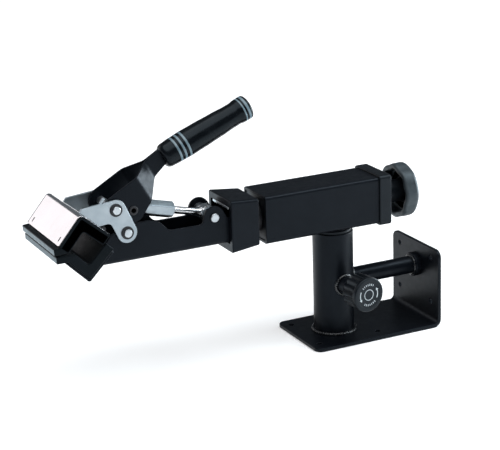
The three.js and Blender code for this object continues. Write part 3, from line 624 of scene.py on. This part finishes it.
def make_post():
    low, high = box("post_tube")
    foot = low.z
    top = high.z
    outer = box("swivel_stub")[1].x + STUB_TO_POST
    inner = outer - POST_WALL
    profile = filleted_loop([
        (foot, inner), (foot, outer), (top, outer, 0.9), (top, inner, 0.5)], 4)
    show("post", spin(profile, FINE, closed=True).placed(UPRIGHT),
         "base", "powder_coat", ["post_tube"])
    ring = [Vector((*p, foot + 0.9)) for p in circle(0, 0, outer + 0.9, 260)]
    show("post_weld", bead(ring, WELD_R), "base", "powder_coat", finish=WELD)

    brace_low, brace_high = box("brace_tube")
    brace_r = (brace_high.z - brace_low.z) / 2
    tube = spin([(outer - 1.5, brace_r), (brace_high.x, brace_r)], MEDIUM)
    show("brace", tube.placed(BRACE_LINE), "base", "powder_coat", ["brace_tube"])
    show("brace_weld", bead(saddle(brace_r + 0.5, outer, (1, 0, 0), BRACE_Z), WELD_R * 0.8),
         "base", "powder_coat", finish=WELD)
    flange_low, flange_high = box("brace_flange")
    flange_r = (flange_high.z - flange_low.z) / 2
    disc = spin(filleted([
        (flange_low.x, 0.5), (flange_low.x, flange_r, 1.6), (flange_high.x, flange_r), (flange_high.x, 0.5),
    ]), MEDIUM)
    ring = [Vector((flange_low.x - 0.2, *p)) for p in circle(0, 0, brace_r + 0.6, 120)]
    weld = bead(ring, 1.3).placed(BRACE_LINE)
    show("flange_weld", weld, "base", "powder_coat", finish=WELD)
    show("flange", disc.placed(BRACE_LINE), "base", "powder_coat", ["brace_flange"])

    bush_low, bush_high = box("post_bush")
    bush_r = bush_high.x
    inner_bush = box("swivel_stub")[1].x - 2.5
    bush = spin(filleted_loop([
        (bush_low.z, inner_bush), (bush_low.z, inner - 0.1), (top, inner - 0.1), (top, bush_r, 0.4),
        (bush_high.z, bush_r, 0.8), (bush_high.z, inner_bush),
    ]), FINE, closed=True)
    show("bush", bush.placed(UPRIGHT), "base", "black_plastic", ["post_bush"])
    return outer


def knob_axes():
    direction = (math.sin(KNOB_TURN), -math.cos(KNOB_TURN), 0)
    return axes((0, 0, BRACE_Z), direction), direction


def make_post_knob(post_r):
    place, direction = knob_axes()
    boss_r = (box("post_boss")[1].z - box("post_boss")[0].z) / 2
    bore = KNOB_SCREW_R + 0.1
    boss = spin(filleted_loop([
        (post_r - 1.5, bore), (post_r - 1.5, boss_r), (BOSS_END, boss_r, 0.9), (BOSS_END, bore, 0.4),
    ]), MEDIUM, closed=True)
    show("boss", boss.placed(place), "base", "powder_coat", ["post_boss"])
    weld = bead(saddle(boss_r + 0.8, post_r, direction, BRACE_Z), WELD_R * 0.9)
    show("boss_weld", weld, "base", "powder_coat", finish=WELD)

    rim = (box("post_knob")[1].z - box("post_knob")[0].z) / 2
    back, neck_end, face_start, face = KNOB_PLACES

    def ridged(angle, distance, radius):
        if not neck_end + 0.4 < distance < face_start - 0.2 or radius < rim - 3:
            return radius
        swing = (0.5 + 0.5 * math.cos(KNOB_RIDGES * angle)) ** 0.7
        return radius - KNOB_RIDGE_DEPTH * (1 - swing)

    side = [(neck_end + 0.3 + t, rim - 0.9 + 0.9 * math.sin(math.pi / 2 * t / 1.2))
            for t in (0.2, 0.5, 0.8, 1.2)]
    side += [(neck_end + 3 + t, rim - 0.1) for t in (0, 4, 8, 12.5)]
    profile = [(back, KNOB_SCREW_R + 0.3), (back, 11.6), (back + 0.8, 12.5), (neck_end, 12.5)]
    profile += [(neck_end, rim - 3.4)]
    profile += side
    profile += [(face_start - 0.25, rim - 0.4), (face_start, rim - 0.2), (face_start + 0.4, rim)]
    profile += filleted([(face_start + 0.8, rim), (face, rim, 1.6), (face, rim - 4.0)], 6)
    profile += [(face, rim - 4.2), (face - 0.5, rim - 4.9), (face - 0.5, 1.0)]
    knob = spin(profile, 14 * KNOB_RIDGES, shape=ridged)
    show("knob", knob.placed(place), "post_knob", "black_plastic", ["post_knob"])
    show("knob_marks", knob_marks(face - 0.5).placed(place), "post_knob", "black_plastic", finish=PRINT)

    threads = threaded(*KNOB_SCREW_ENDS, KNOB_SCREW_R - 0.05, 0.5, 1.5)
    show("knob_screw", threads.placed(place), "post_knob", "bright_steel", ["post_knob_screw"],
         weighted=False)


def ring_sector(inner, outer, start, end, height, steps=14):
    """A thin raised sector of a ring that faces along +X."""
    outline = [Vector((outer * math.cos(a), outer * math.sin(a))) for a in between(start, end, steps)]
    outline += [Vector((inner * math.cos(a), inner * math.sin(a))) for a in between(end, start, steps)]
    return plate(outline, height, height + 0.12, 0.03).placed(FACE_X)


def knob_marks(height):
    """Two curved arrows and plain graduation ticks in place of the printed ring."""
    marks = Solid()
    for turn in (0, math.pi):
        start, end = turn - 0.45, turn + 0.35
        marks = marks + ring_sector(10.6, 11.6, start, end, height)
        tip = end + 0.24
        head = [Vector((r * math.cos(a), r * math.sin(a)))
                for r, a in ((12.7, end - 0.02), (11.1, tip), (9.5, end - 0.02))]
        head = head if (head[1] - head[0]).cross(head[2] - head[0]) > 0 else head[::-1]
        marks = marks + plate(head, height, height + 0.12, 0.03).placed(FACE_X)
        for k in range(7):
            middle = turn + math.pi / 2 + (k - 3) * 0.21 + 0.1
            marks = marks + ring_sector(9.9, 12.0, middle - 0.035, middle + 0.035, height, 2)
    marks = marks + ring_sector(5.2, 5.9, 0, math.tau * 0.999, height, 60)
    return marks


def threaded(low, high, radius, depth, pitch, sides=36):
    """A screw thread about X, cut down from the given radius."""
    count = max(2, round((high - low) / (pitch / 6)))

    def ridge(angle, distance, r):
        phase = (distance / pitch - angle / math.tau) % 1
        tooth = abs(2 * phase - 1)
        ends = min(1, (distance - low) / pitch, (high - distance) / pitch)
        return r - depth * (1 - tooth * ends)

    return spin([(x, radius) for x in between(low, high, count)], sides, shape=ridge)


# ---------------------------------------------------------------- arm
def make_arm():
    low, high = box("arm_tube")
    half = high.y
    outline = rounded_rectangle(-half, -half, half, half, ARM_CORNER, 8)
    hollow = rounded_rectangle(ARM_WALL - half, ARM_WALL - half, half - ARM_WALL, half - ARM_WALL, 1.2, 4)
    tube = plate(outline, low.x, high.x, 0.5, [hollow[::-1]], 0.3)
    show("square_tube", tube.placed(ACROSS_ARM), "arm", "powder_coat",
         ["arm_tube"])

    cap_low, cap_high = box("arm_end_cap")
    cap_half = cap_high.y
    outline = rounded_rectangle(-cap_half, -cap_half, cap_half, cap_half, 4.0, 10)
    bore = circle(0, 0, 6.1)[::-1]
    cap = plate(outline, high.x + 0.02, cap_high.x, 1.1, [bore], 0.4, 4)
    spigot_half = half - ARM_WALL - 0.3
    spigot = plate(rounded_rectangle(-spigot_half, -spigot_half, spigot_half, spigot_half, 1, 4),
                   cap_low.x, high.x, 0.5, [bore], 0.3)
    show("end_cap", (cap + spigot).placed(ACROSS_ARM),
         "arm", "black_plastic", ["arm_end_cap"])

    stub_low, stub_high = box("swivel_stub")
    shoulder_r = stub_high.x
    shoulder = box("post_bush")[1].z + 0.3
    stub = spin(filleted_loop([
        (stub_low.z, shoulder_r - 5.6), (stub_low.z, shoulder_r - 2.6, 0.6), (shoulder, shoulder_r - 2.6),
        (shoulder, shoulder_r, 0.8), (stub_high.z, shoulder_r), (stub_high.z, shoulder_r - 5.6),
    ]), FINE, closed=True)
    show("stub", stub.placed(UPRIGHT), "arm", "powder_coat", ["swivel_stub"])
    ring = [Vector((*p, stub_high.z - 0.4)) for p in circle(0, 0, shoulder_r + 0.3, 220)]
    show("stub_weld", bead(ring, 1.1, 1.8), "arm", "powder_coat")


def make_rear_knob():
    low, high = box("rear_knob")
    outer = (high.z - low.z) / 2
    rim, back = REAR_KNOB_RIM, high.x
    hub = low.x

    def lobes(angle, distance, radius):
        """Scallops that are deepest at the inner rim and fade towards the smooth back."""
        if radius < 17:
            return radius
        weight = min(1.0, (radius - 17) / 7) * (1 - 0.75 * max(0.0, distance - rim) / (back - rim))
        swing = (0.5 + 0.5 * math.cos(REAR_LOBES * angle)) ** 0.75
        return radius - REAR_LOBE_DEPTH * weight * (1 - swing)

    inner = outer - 5.4
    cup_floor = back - 5
    profile = filleted([
        (cup_floor, 12.4), (cup_floor, inner - 1, 3.5), (rim, inner, 2.0), (rim, outer, 2.6),
        (back, outer, 4.5), (back, 15.5, 1.0), (back - 1.2, 14.5, 1.0), (back - 1.2, 0.6),
    ], 7)
    show("cup_knob", spin(profile, 24 * REAR_LOBES, shape=lobes).placed(ARM_LINE), "rear_knob",
         "black_plastic", ["rear_knob"], COARSE)
    # The knob's hub, in the darker black plastic, with a thin disc laid 0.3 mm in front of the cup's floor. The
    # disc is painted shade: the floor faces away from the light, towards the arm.
    core = spin(filleted([
        (back - 2.5, 0.6), (back - 2.5, 6.1), (hub, 6.1, 0.6), (hub, 12, 1.0), (cup_floor - 0.3, 12, 2.0),
        (cup_floor - 0.3, inner - 1.5),
    ], 7), MEDIUM)
    show("knob_hub_and_painted_floor_shade", core.placed(ARM_LINE), "rear_knob", "black_plastic")
    washer_low, washer_high = box("rear_washer")
    washer = flat_ring(washer_low.x, washer_high.x, BOLT_HOLE_R, washer_high.y, 0.4)
    show("washer", washer.placed(ARM_LINE), "rear_washer", "zinc_plate", ["rear_washer"])


# ---------------------------------------------------------------- clamp head
def square_loop(x, half_y, low, high, corner, steps=5):
    return [Vector((x, p.x, p.y)) for p in rounded_rectangle(-half_y, low, half_y, high, corner, steps)]


def make_collar():
    low, high = box("head_collar")
    left, right = low.x, high.x
    soft = 1.3

    def outer(x, shrink):
        share = (x - left) / (right - left)
        half = COLLAR_LEFT_HALF + (COLLAR_RIGHT_HALF - COLLAR_LEFT_HALF) * share - shrink
        return square_loop(x, half, ARM_Z - half, ARM_Z + half, 3.2 - shrink)

    def pocket(x, grow):
        return square_loop(x, POCKET_HALF + grow, POCKET_LOW - grow, POCKET_HIGH + grow, 1.5 + grow)

    quarter = [(1 - math.cos(a), 1 - math.sin(a)) for a in between(0, math.pi / 2, 4)]
    loops = [outer(right - soft * away, soft * shrink) for away, shrink in quarter]
    loops += [outer(left + soft * away, soft * shrink) for away, shrink in reversed(quarter)]
    loops += [pocket(left + 0.6 * away, 0.6 * shrink) for away, shrink in quarter[1:]]
    loops += [pocket(POCKET_END, 0)]
    show("collar", loft(loops), "head", "powder_coat", ["head_collar"])

    strip_low, strip_high = box("collar_strip")
    outline = rounded_rectangle(strip_low.x, strip_low.y, strip_high.x, strip_high.y, 1.0, 4)
    strip = plate(outline, strip_low.z, strip_high.z, 0.4)
    show("wear_strip", strip, "head", "bright_steel", ["collar_strip"], SATIN)

    bolt_low, bolt_high = box("draw_bolt")
    head_end = bolt_low.x + 7

    def hexagon(angle, distance, radius):
        if distance > head_end + 0.2 or radius < 8.8:
            return radius
        flat = 9.0 / math.cos((angle + math.pi / 6) % (math.pi / 3) - math.pi / 6)
        return min(radius, flat)

    bolt = spin([
        (bolt_low.x, 0.8), (bolt_low.x, 8.7), (bolt_low.x + 0.5, 9.4), (bolt_low.x + 1.2, 10.4),
        (head_end, 10.4), (head_end, 8.7), (head_end + 0.3, 6.0), (bolt_high.x - 27, 6.0),
    ], 72, shape=hexagon)
    bolt = bolt + threaded(bolt_high.x - 27, bolt_high.x, 6.0, 0.6, 1.75)
    show("through_bolt", bolt.placed(ARM_LINE), "head", "bright_steel", ["draw_bolt"])
    ring_low, ring_high = box("friction_washer")
    ring = flat_ring(ring_low.x, ring_high.x, BOLT_HOLE_R, ring_high.y, 0.5, FINE)
    show("friction_ring", ring.placed(ARM_LINE), "head", "black_oxide", ["friction_washer"])


def make_channel():
    low, high = box("head_channel")
    bottom = low.z
    half = high.y
    bx, bz = PIVOT_B.x, PIVOT_B.z
    ex, ez = PIVOT_E.x, PIVOT_E.z
    leg_line = low.x - bottom
    rear = high.x
    front_top, rear_top = CHANNEL_TOPS
    lower = bottom + CHANNEL_BEND
    side = belt([
        (leg_line + lower, lower, 0), (rear, lower, 0), (rear, rear_top, 0), (ex + 17, ez + 1.3, -4),
        (ex, ez, 11.5), (ex - 16, ez - 1.4, -4), (bx + 49.4, bz + 2.5, -9), (bx + 32.4, bz - 1.5, 6.3),
        (bx + 24.4, bz + 4.3, 3), (bx, bz, 7.4), (bx - 13.6, bz - 5.8, 5),
        (leg_line + front_top, front_top, 0),
    ], 0.12)
    flat_half = half - CHANNEL_BEND
    arc = bend_length(CHANNEL_BEND, CHANNEL_SHEET)

    def unfolded(z):
        return flat_half + arc + z - lower

    one_side = [Vector((p.x, unfolded(p.y))) for p in side[1:]] + [Vector((side[0].x, unfolded(lower)))]
    outline = [Vector((rear, flat_half))] + one_side + [Vector((low.x, flat_half))]
    outline += [Vector((p.x, -p.y)) for p in reversed(outline)]
    holes = []
    for x, z, r in ((bx, bz, PIN_R + 0.1), (ex, ez, EAR_PIN_R + 0.1)):
        holes += [circle(x, unfolded(z), r)[::-1], circle(x, -unfolded(z), r)[::-1]]
    flat = plate(outline, 0, CHANNEL_SHEET, 0.45, holes, 0.25)
    bends = between(flat_half, flat_half + arc, 7)
    flat = flat.sliced(1, bends + [-place for place in bends])

    def rule(v):
        across, rise = fold(abs(v.y), v.z, flat_half, CHANNEL_BEND, CHANNEL_SHEET, math.pi / 2)
        return v.x, math.copysign(across, v.y), bottom + rise

    show("channel", flat.bent(rule), "head", "powder_coat", ["head_channel"])

    face = half + 0.3
    end = face + EAR_PIN_HEAD
    head_r = EAR_PIN_HEAD_R
    ear = spin(filleted([
        (-end, 0.5), (-end, head_r, 1.1), (-face, head_r), (-face, EAR_PIN_R), (face, EAR_PIN_R),
        (face, head_r), (end, head_r, 1.1), (end, 0.5),
    ]), SMALL)
    show("link_pin", ear.placed(axes(PIVOT_E, (0, 1, 0))), "head", "bright_steel", ["ear_pin"], SATIN)
    for node, name in (("ear_spacer_front", "spacer_front"), ("ear_spacer_back", "spacer_back")):
        spacer_low, spacer_high = box(node)
        tube = flat_ring(spacer_low.y, spacer_high.y, EAR_PIN_R + 0.1, 6.5, 0.4, SMALL)
        show(name, tube.placed(axes((ex, 0, ez), (0, 1, 0))), "head", "zinc_plate", [node])


def make_cross_pin(name, node, place, body):
    """A jaw pin with the clip at each end."""
    low, high = box(node)
    end = high.y
    pin = spin(filleted([(-end, 0.5), (-end, PIN_R, 0.8), (end, PIN_R, 0.8), (end, 0.5)]), SMALL)
    show(name, pin.placed(axes(place, (0, 1, 0))), body, "bright_steel", [node], SATIN)
    for side in ("front", "back"):
        ring_node = f"{node}_ring_{side}"
        ring_low, ring_high = box(ring_node)
        ring = flat_ring(ring_low.y, ring_high.y, PIN_R + 0.1, CLIP_R, 0.5, SMALL)
        show(f"{name}_clip_{side}", ring.placed(axes((place.x, 0, place.z), (0, 1, 0))), body, "black_oxide",
             [ring_node])


# ---------------------------------------------------------------- jaws
def v_plate(left_leg, right_leg, sheet, outer, half, slots):
    """A sheet folded to a right angle: apex at the origin, both legs pointing down."""
    arc = bend_length(outer, sheet)
    start = outer - left_leg
    end = arc + right_leg - outer
    outline = rounded_rectangle(start, -half, end, half, 2.5, 6)
    holes = []
    if slots:
        for y in (SLOT_FROM_SIDE - half, half - SLOT_FROM_SIDE):
            middle = start + SLOT_FROM_EDGE
            slot = rounded_rectangle(middle - 2.75, y - 0.95, middle + 2.75, y + 0.95, 0.9, 4)
            holes.append(slot[::-1])
    flat = plate(outline, 0, sheet, 0.4, holes, 0.2)
    flat = flat.sliced(0, between(0, arc, 8))

    def rule(v):
        along, inward = fold(v.x, v.z, 0, outer, sheet, math.pi / 2)
        along -= outer
        return (along + inward) * math.sqrt(0.5), v.y, (along - inward) * math.sqrt(0.5)

    return flat.bent(rule)


def pad(lip_x, lip_top, right_leg, half, apex):
    """The rubber pad inside a V, with a lip on its left leg, apex at the origin."""
    right = right_leg * math.sqrt(0.5)
    step = PAD_THICK * math.sqrt(0.5)
    lip_low = lip_top + LIP_HEIGHT
    outline = filleted_loop([
        (-lip_top, -lip_top, 1.0), (-lip_x, -lip_top, 1.2), (-lip_x, -lip_low, 1.2),
        (2 * step - lip_low, -lip_low, 1.5), (0, -2 * step, 2.5),
        (right - step, -right - step, 1.2), (right, -right, 1.0), (0, 0, apex),
    ])
    return standing(plate(outline, -half, half, 0.9))


def pad_ends(lip_top, right_leg, sheet, apex, half, near):
    """The ends of the pad, raised so that they stand flush with the outside of the plate."""
    rise = (sheet + 0.15) * math.sqrt(2)
    right = right_leg * math.sqrt(0.5)
    step = PAD_THICK * math.sqrt(0.5)
    outline = filleted_loop([
        (-lip_top - rise / 2, -lip_top + rise / 2, 0.8), (-lip_top + step, -lip_top - step, 0.8),
        (0, -2 * step, 2.0),
        (right - step, -right - step, 0.8), (right + rise / 2, -right + rise / 2, 0.8), (0, rise, apex),
    ])
    end = standing(plate(outline, near, half, 0.3))
    return end + end.mirrored_y()


def upper_place(drop=0.0):
    """The upper jaw's own frame: apex, and its tilt about Y."""
    turn = Matrix.Rotation(-UPPER_TILT, 4, "Y")
    return Matrix.Translation(UPPER_APEX) @ turn @ Matrix.Translation((0, 0, -drop))


def lower_place(rise=0.0):
    return Matrix.Translation(LOWER_APEX + Vector((0, 0, rise))) @ Matrix.Rotation(math.pi, 4, "X")


def make_jaws():
    plate_half = box("upper_jaw_plate")[1].y
    pad_half = box("upper_jaw_pad")[1].y
    upper = v_plate(UPPER_LEG, JAW_LEG, UPPER_SHEET, UPPER_BEND, plate_half, slots=True)
    show("upper_jaw", upper.placed(upper_place()), "jaw", "polished_steel", ["upper_jaw_plate"])
    drop = (UPPER_SHEET + 0.3) * math.sqrt(2)
    rubber = pad(*UPPER_LIP, JAW_LEG - 2, pad_half, UPPER_BEND - UPPER_SHEET)
    ends = pad_ends(UPPER_LIP[1], JAW_LEG - 2, UPPER_SHEET, UPPER_BEND, pad_half, plate_half + 0.2)
    show("upper_pad", (rubber + ends).placed(upper_place(drop)), "jaw", "black_rubber", ["upper_jaw_pad"])
    lower = v_plate(LOWER_LEG, JAW_LEG, LOWER_SHEET, LOWER_BEND, plate_half, slots=False)
    show("lower_jaw", lower.placed(lower_place()), "head", "powder_coat", ["lower_jaw_plate"])
    rise = (LOWER_SHEET + 0.15) * math.sqrt(2)
    rubber = pad(*LOWER_LIP, JAW_LEG - 1, pad_half, LOWER_BEND)
    show("lower_pad", rubber.placed(lower_place(rise)), "head", "black_rubber", ["lower_jaw_pad"])


def make_side_plates():
    ax, az = PIVOT_A.x, PIVOT_A.z
    bx, bz = PIVOT_B.x, PIVOT_B.z
    on_leg = from_line(UPPER_APEX, UPPER_TILT - math.pi / 4)
    outline = belt([
        (*on_leg(8.5, 0.3), 0), (*on_leg(34.5, 0.3), 0), (bx - 20.1, bz + 6.7, -5.4), (bx, bz, 10.2),
        (ax, az, 10.2), (*on_leg(9.5, 4.4), 1),
    ], 0.12)
    holes = [circle(x, z, PIN_R + 0.1)[::-1] for x, z in ((ax, az), (bx, bz))]
    x, z = FINGER_PLACE
    thin, tall = FINGER_HALF
    finger = plate(rounded_rectangle(-thin, -tall, thin, tall, 0.5, 3), 0, SIDE_SHEET, 0.35)
    turned = Matrix.Translation((x, z, 0)) @ Matrix.Rotation(-FINGER_LEAN, 4, "Z")
    for side, node in (("front", "jaw_side_plate_front"), ("back", "jaw_side_plate_back")):
        near = box(node)[0].y if side == "front" else box(node)[1].y - SIDE_SHEET
        sheet = plate(outline, near, near + SIDE_SHEET, 0.35, holes, 0.2)
        if side == "front":
            sheet = sheet + finger.placed(Matrix.Translation((0, 0, near)) @ turned)
        show(f"side_plate_{side}", standing(sheet), "jaw", "zinc_plate", [node])

    end = box("jaw_tie_rod")[1].y
    rod_r = (box("jaw_tie_rod")[1].x - box("jaw_tie_rod")[0].x) / 2
    tie = spin(filleted([(-end, 0.3), (-end, rod_r, 0.6), (end, rod_r, 0.6), (end, 0.3)]), SMALL)
    x, z = on_leg(TIE_ROD_ALONG, 0)
    show("tie_rod", tie.placed(axes((x, 0, z), (0, 1, 0))), "jaw", "black_oxide", ["jaw_tie_rod"])


# ---------------------------------------------------------------- handle
def make_handle():
    turn = Matrix.Rotation(-HANDLE_ANGLE, 4, "Y")
    place = Matrix.Translation(PIVOT_A) @ turn
    inverse = place.inverted()
    rivet = inverse @ PIVOT_C
    grip = inverse @ GRIP_START
    on_tang = from_line(grip, GRIP_ANGLE - HANDLE_ANGLE)
    first, second = YOKE_BENDS
    low_edge, high_edge = TANG_RISE - TANG_HALF, TANG_RISE + TANG_HALF
    outline = belt([
        (rivet.x, rivet.z, YOKE_END_R), (first, -17.2, 0), (second, -6.8, 0),
        (*on_tang(TANG_START, low_edge), 0),
        (*on_tang(TANG_REACH, low_edge), 0), (*on_tang(TANG_REACH, high_edge), 0),
        (*on_tang(TANG_START, high_edge), 0), (second, 12.9, 0), (first, YOKE_END_R, 0), (0, 0, YOKE_END_R),
    ], 0.12)
    holes = [circle(0, 0, PIN_R + 0.1)[::-1], circle(rivet.x, rivet.z, ROD_R + 0.1)[::-1]]
    flat = standing(plate(outline, -YOKE_OUT, YOKE_SHEET - YOKE_OUT, 0.45, holes, 0.25))
    flat = flat.sliced(0, between(first - 3, first + 3, 8) + between(second - 3, second + 3, 8))

    def ramp(u, corner, radius=3.0):
        """A slope of one that starts smoothly at a corner."""
        if u <= corner - radius:
            return 0.0
        if u >= corner + radius:
            return u - corner
        return (u - corner + radius) ** 2 / (4 * radius)

    slope = (YOKE_OUT - TANG_OUT) / (second - first)

    def rule(v):
        return v.x, v.y + slope * (ramp(v.x, first) - ramp(v.x, second)), v.z

    front = flat.bent(rule)
    show("yoke_front", front.placed(place), "handle", "powder_coat", ["yoke_plate_front"])
    show("yoke_back", front.mirrored_y().placed(place), "handle", "powder_coat", ["yoke_plate_back"])

    face = YOKE_OUT + 0.3
    hollow = spin(filleted_loop([
        (-face - 1, 2.6, 0.3), (-face - 1, 4.7, 0.7), (-face, 4.7, 0.2), (-face, ROD_R), (face, ROD_R),
        (face, 4.7, 0.2), (face + 1, 4.7, 0.7), (face + 1, 2.6, 0.3),
    ], 3), SMALL, closed=True)
    show("hollow_rivet", hollow.placed(axes(PIVOT_C, (0, 1, 0))), "handle", "black_oxide", ["yoke_rivet"])
    make_grip()


def grip_radius(s):
    """The grip's outline: a swell near the yoke, a waist and a flared end."""
    knots = ((1, 12.6), (10, 13.2), (24, 13.6), (40, 13.3), (62, 12.6), (76, 11.8), (83, 11.7),
             (88, 12.5), (96.5, 12.6))
    for (s0, r0), (s1, r1) in zip(knots, knots[1:]):
        if s <= s1:
            t = max(0.0, (s - s0) / (s1 - s0))
            return r0 + (r1 - r0) * t * t * (3 - 2 * t)
    return knots[-1][1]


def make_grip():
    place = axes(GRIP_START, (math.cos(GRIP_ANGLE), 0, math.sin(GRIP_ANGLE)))
    base = [(-4, 7.2), (-4, 8.2), (-3.8, 9.3), (-3.1, 10.5), (-2.0, 11.5), (-0.6, 12.2)]
    groove = 0.35
    body = [(s, grip_radius(s)) for s in between(1, GRIP_LENGTH - 2.9, 96)]
    cuts = []
    for middle, width in GRIP_RINGS:
        for edge, sign in ((middle - width / 2, -1), (middle + width / 2, 1)):
            cuts.append((edge + sign * 0.15, 0.0))
            cuts.append((edge, groove))
    kept = [(s, r) for s, r in body
            if all(abs(s - middle) > width / 2 + 0.3 for middle, width in GRIP_RINGS)]
    kept += [(s, grip_radius(s) - depth) for s, depth in cuts]
    kept.sort()
    steps = ((2.0, 12.3), (1.1, 11.5), (0.4, 10.3), (0, 8.8), (0, 0.8))
    nose = [(GRIP_LENGTH - back, radius) for back, radius in steps]
    show("grip_body", spin(base + kept + nose, FINE).placed(place), "handle", "black_rubber", ["grip"], GRIP,
         weighted=False)
    for number, (middle, width) in enumerate(GRIP_RINGS, 1):
        edge = width / 2
        ring_r = grip_radius(middle) + 0.05
        ring = flat_ring(middle - edge, middle + edge, ring_r - groove - 0.25, ring_r, 0.25, FINE, 3)
        show(f"grip_ring_{number}", ring.placed(place), "handle", "black_rubber", finish=RING)


# ---------------------------------------------------------------- link
def make_link():
    along = PIVOT_E - PIVOT_C
    length = along.length
    place = axes(PIVOT_E, along)
    eye_axis = Matrix.Rotation(math.pi / 2, 4, "Z")

    hub = spin(filleted_loop([
        (-6.5, 4.1, 0.4), (-6.5, 7.6), (-4.6, 8.8, 1.0), (4.6, 8.8, 1.0), (6.5, 7.6), (6.5, 4.1, 0.4),
    ]), MEDIUM, closed=True).placed(eye_axis)
    neck = spin([
        (-24, ROD_R - 0.2), (-21.5, ROD_R - 0.1), (-13, ROD_R + 0.1), (-9, ROD_R + 1.2), (-7, 6.0),
    ], SMALL)
    stem = threaded(-54, -23.9, ROD_R, 0.42, 1.25)
    show("rod", (hub + neck + stem).placed(place), "link", "bright_steel", ["link_rod"])

    flat = NUT_FLAT
    far, near = NUT_ENDS
    floor, bore = NUT_COUNTERBORE

    def hexagon(angle, distance, radius):
        if radius < flat - 1.3:
            return radius
        return min(radius, flat / math.cos((angle + NUT_TURN) % (math.pi / 3) - math.pi / 6))

    corner = flat / math.cos(math.pi / 6)
    nut = spin([
        (floor, 4.1), (floor, bore), (far, bore), (far, 6.9), (far + 0.35, flat), (far + 1.6, corner),
        (near - 1.6, corner), (near - 0.35, flat), (near, 6.9), (near, 4.1),
    ], 96, closed=True, shape=hexagon)
    show("long_nut", nut.placed(place), "adjust_nut", "zinc_plate", ["adjust_nut"])

    eye = spin(filleted_loop([
        (-6, 4.1, 0.4), (-6, 7.4, 0.9), (6, 7.4, 0.9), (6, 4.1, 0.4),
    ]), MEDIUM, closed=True)
    eye = eye.placed(eye_axis).placed(Matrix.Translation((-length, 0, 0)))
    stud = threaded(5 - length, STUD_END, STUD_R, 0.35, 1.0)
    show("eye", (eye + stud).placed(place), "link_eye", "bright_steel", ["link_eye"])


outer_r = make_post()
make_bracket()
make_post_knob(outer_r)
make_arm()
make_rear_knob()
make_collar()
make_channel()
make_cross_pin("toggle_shaft", "toggle_pin", PIVOT_A, "jaw")
make_cross_pin("jaw_shaft", "jaw_pin", PIVOT_B, "head")
make_jaws()
make_side_plates()
make_handle()
make_link()

slots = {entry["node"]: entry["material_slot"] for entry in frame["record"]["subparts"]}
for name, node in frame["nodes"].items():
    node.data.materials.clear()
    node.data.materials.append(FINISHES[slots[name]].material)


# ---------------------------------------------------------------- floor, light and camera
def make_floor():
    finish = Finish("floor", (0.93, 0.93, 0.93), 0.0, 0.6).gloss(6, 3, 0.55, 0.7)
    set_inputs(finish.shader, {"Emission Color": (1, 1, 1, 1), "Emission Strength": 0.18})
    work = bmesh.new()
    bmesh.ops.create_grid(work, x_segments=1, y_segments=1, size=6)
    mesh = bpy.data.meshes.new("floor")
    work.to_mesh(mesh)
    work.free()
    mesh.materials.append(finish.material)
    floor = bpy.data.objects.new("floor", mesh)
    floor.location.z = -0.0002
    add_to_scene(floor)


def area_light(name, place, target, size, watts, colour=(1, 1, 1)):
    light = bpy.data.lights.new(name, "AREA")
    light.shape = "RECTANGLE"
    light.size, light.size_y = size
    light.energy = watts
    light.color = colour
    lamp = bpy.data.objects.new(name, light)
    lamp.location = place
    lamp.rotation_euler = (Vector(target) - Vector(place)).to_track_quat("-Z", "Y").to_euler()
    lamp.visible_camera = False
    add_to_scene(lamp)


def make_lights():
    sun = bpy.data.lights.new("overhead_light", "SUN")
    sun.energy = 2.9
    sun.angle = math.radians(70)
    lamp = bpy.data.objects.new("overhead_light", sun)
    lamp.rotation_euler = (math.radians(12), math.radians(-8), 0)
    add_to_scene(lamp)
    centre = (-0.1, 0, 0.13)
    area_light("left_panel", (-1.1, 1.5, 0.75), centre, (1.2, 1.0), 4.2, (1.0, 0.955, 0.965))
    area_light("right_panel", (1.5, -0.2, 0.35), centre, (0.9, 0.7), 34.0, (0.86, 0.95, 1.0))
    area_light("low_panel", (-0.62, 0.45, 0.004), (-0.62, 0.45, 1), (0.6, 0.7), 2.4, (0.62, 0.86, 1.0))
    area_light("top_panel", (0.75, -0.5, 1.5), centre, (0.8, 0.5), 9.0, (0.86, 0.95, 1.0))
    world = bpy.data.worlds.new("studio")
    world.use_nodes = True
    nodes, links = world.node_tree.nodes, world.node_tree.links
    dim = nodes["Background"]
    set_inputs(dim, {"Color": (0.80, 0.90, 1.0, 1), "Strength": 0.13})
    seen = nodes.new("ShaderNodeBackground")
    set_inputs(seen, {"Color": (1, 1, 1, 1)})
    chosen = nodes.new("ShaderNodeMixShader")
    path = nodes.new("ShaderNodeLightPath")
    links.new(path.outputs["Is Camera Ray"], chosen.inputs["Fac"])
    links.new(dim.outputs["Background"], chosen.inputs[1])
    links.new(seen.outputs["Background"], chosen.inputs[2])
    links.new(chosen.outputs["Shader"], nodes["World Output"].inputs["Surface"])
    bpy.context.scene.world = world


def make_camera():
    azimuth, elevation, roll = VIEW_AZIMUTH, VIEW_ELEVATION, VIEW_ROLL
    right = Vector((math.cos(azimuth), math.sin(azimuth), 0))
    back = Vector((math.sin(azimuth) * math.cos(elevation), -math.cos(azimuth) * math.cos(elevation),
                   math.sin(elevation)))
    up = back.cross(right)
    x = math.cos(roll) * right + math.sin(roll) * up
    y = -math.sin(roll) * right + math.cos(roll) * up
    camera = bpy.data.cameras.new("camera")
    camera.lens = VIEW_LENS
    camera.sensor_width = 36
    camera.clip_start = 0.05
    holder = bpy.data.objects.new("camera", camera)
    matrix = Matrix((x, y, back)).transposed().to_4x4()
    matrix.translation = VIEW_PLACE
    holder.matrix_world = matrix
    add_to_scene(holder)
    bpy.context.scene.camera = holder


make_floor()
make_lights()
make_camera()
bpy.context.scene.view_settings.view_transform = "Standard"
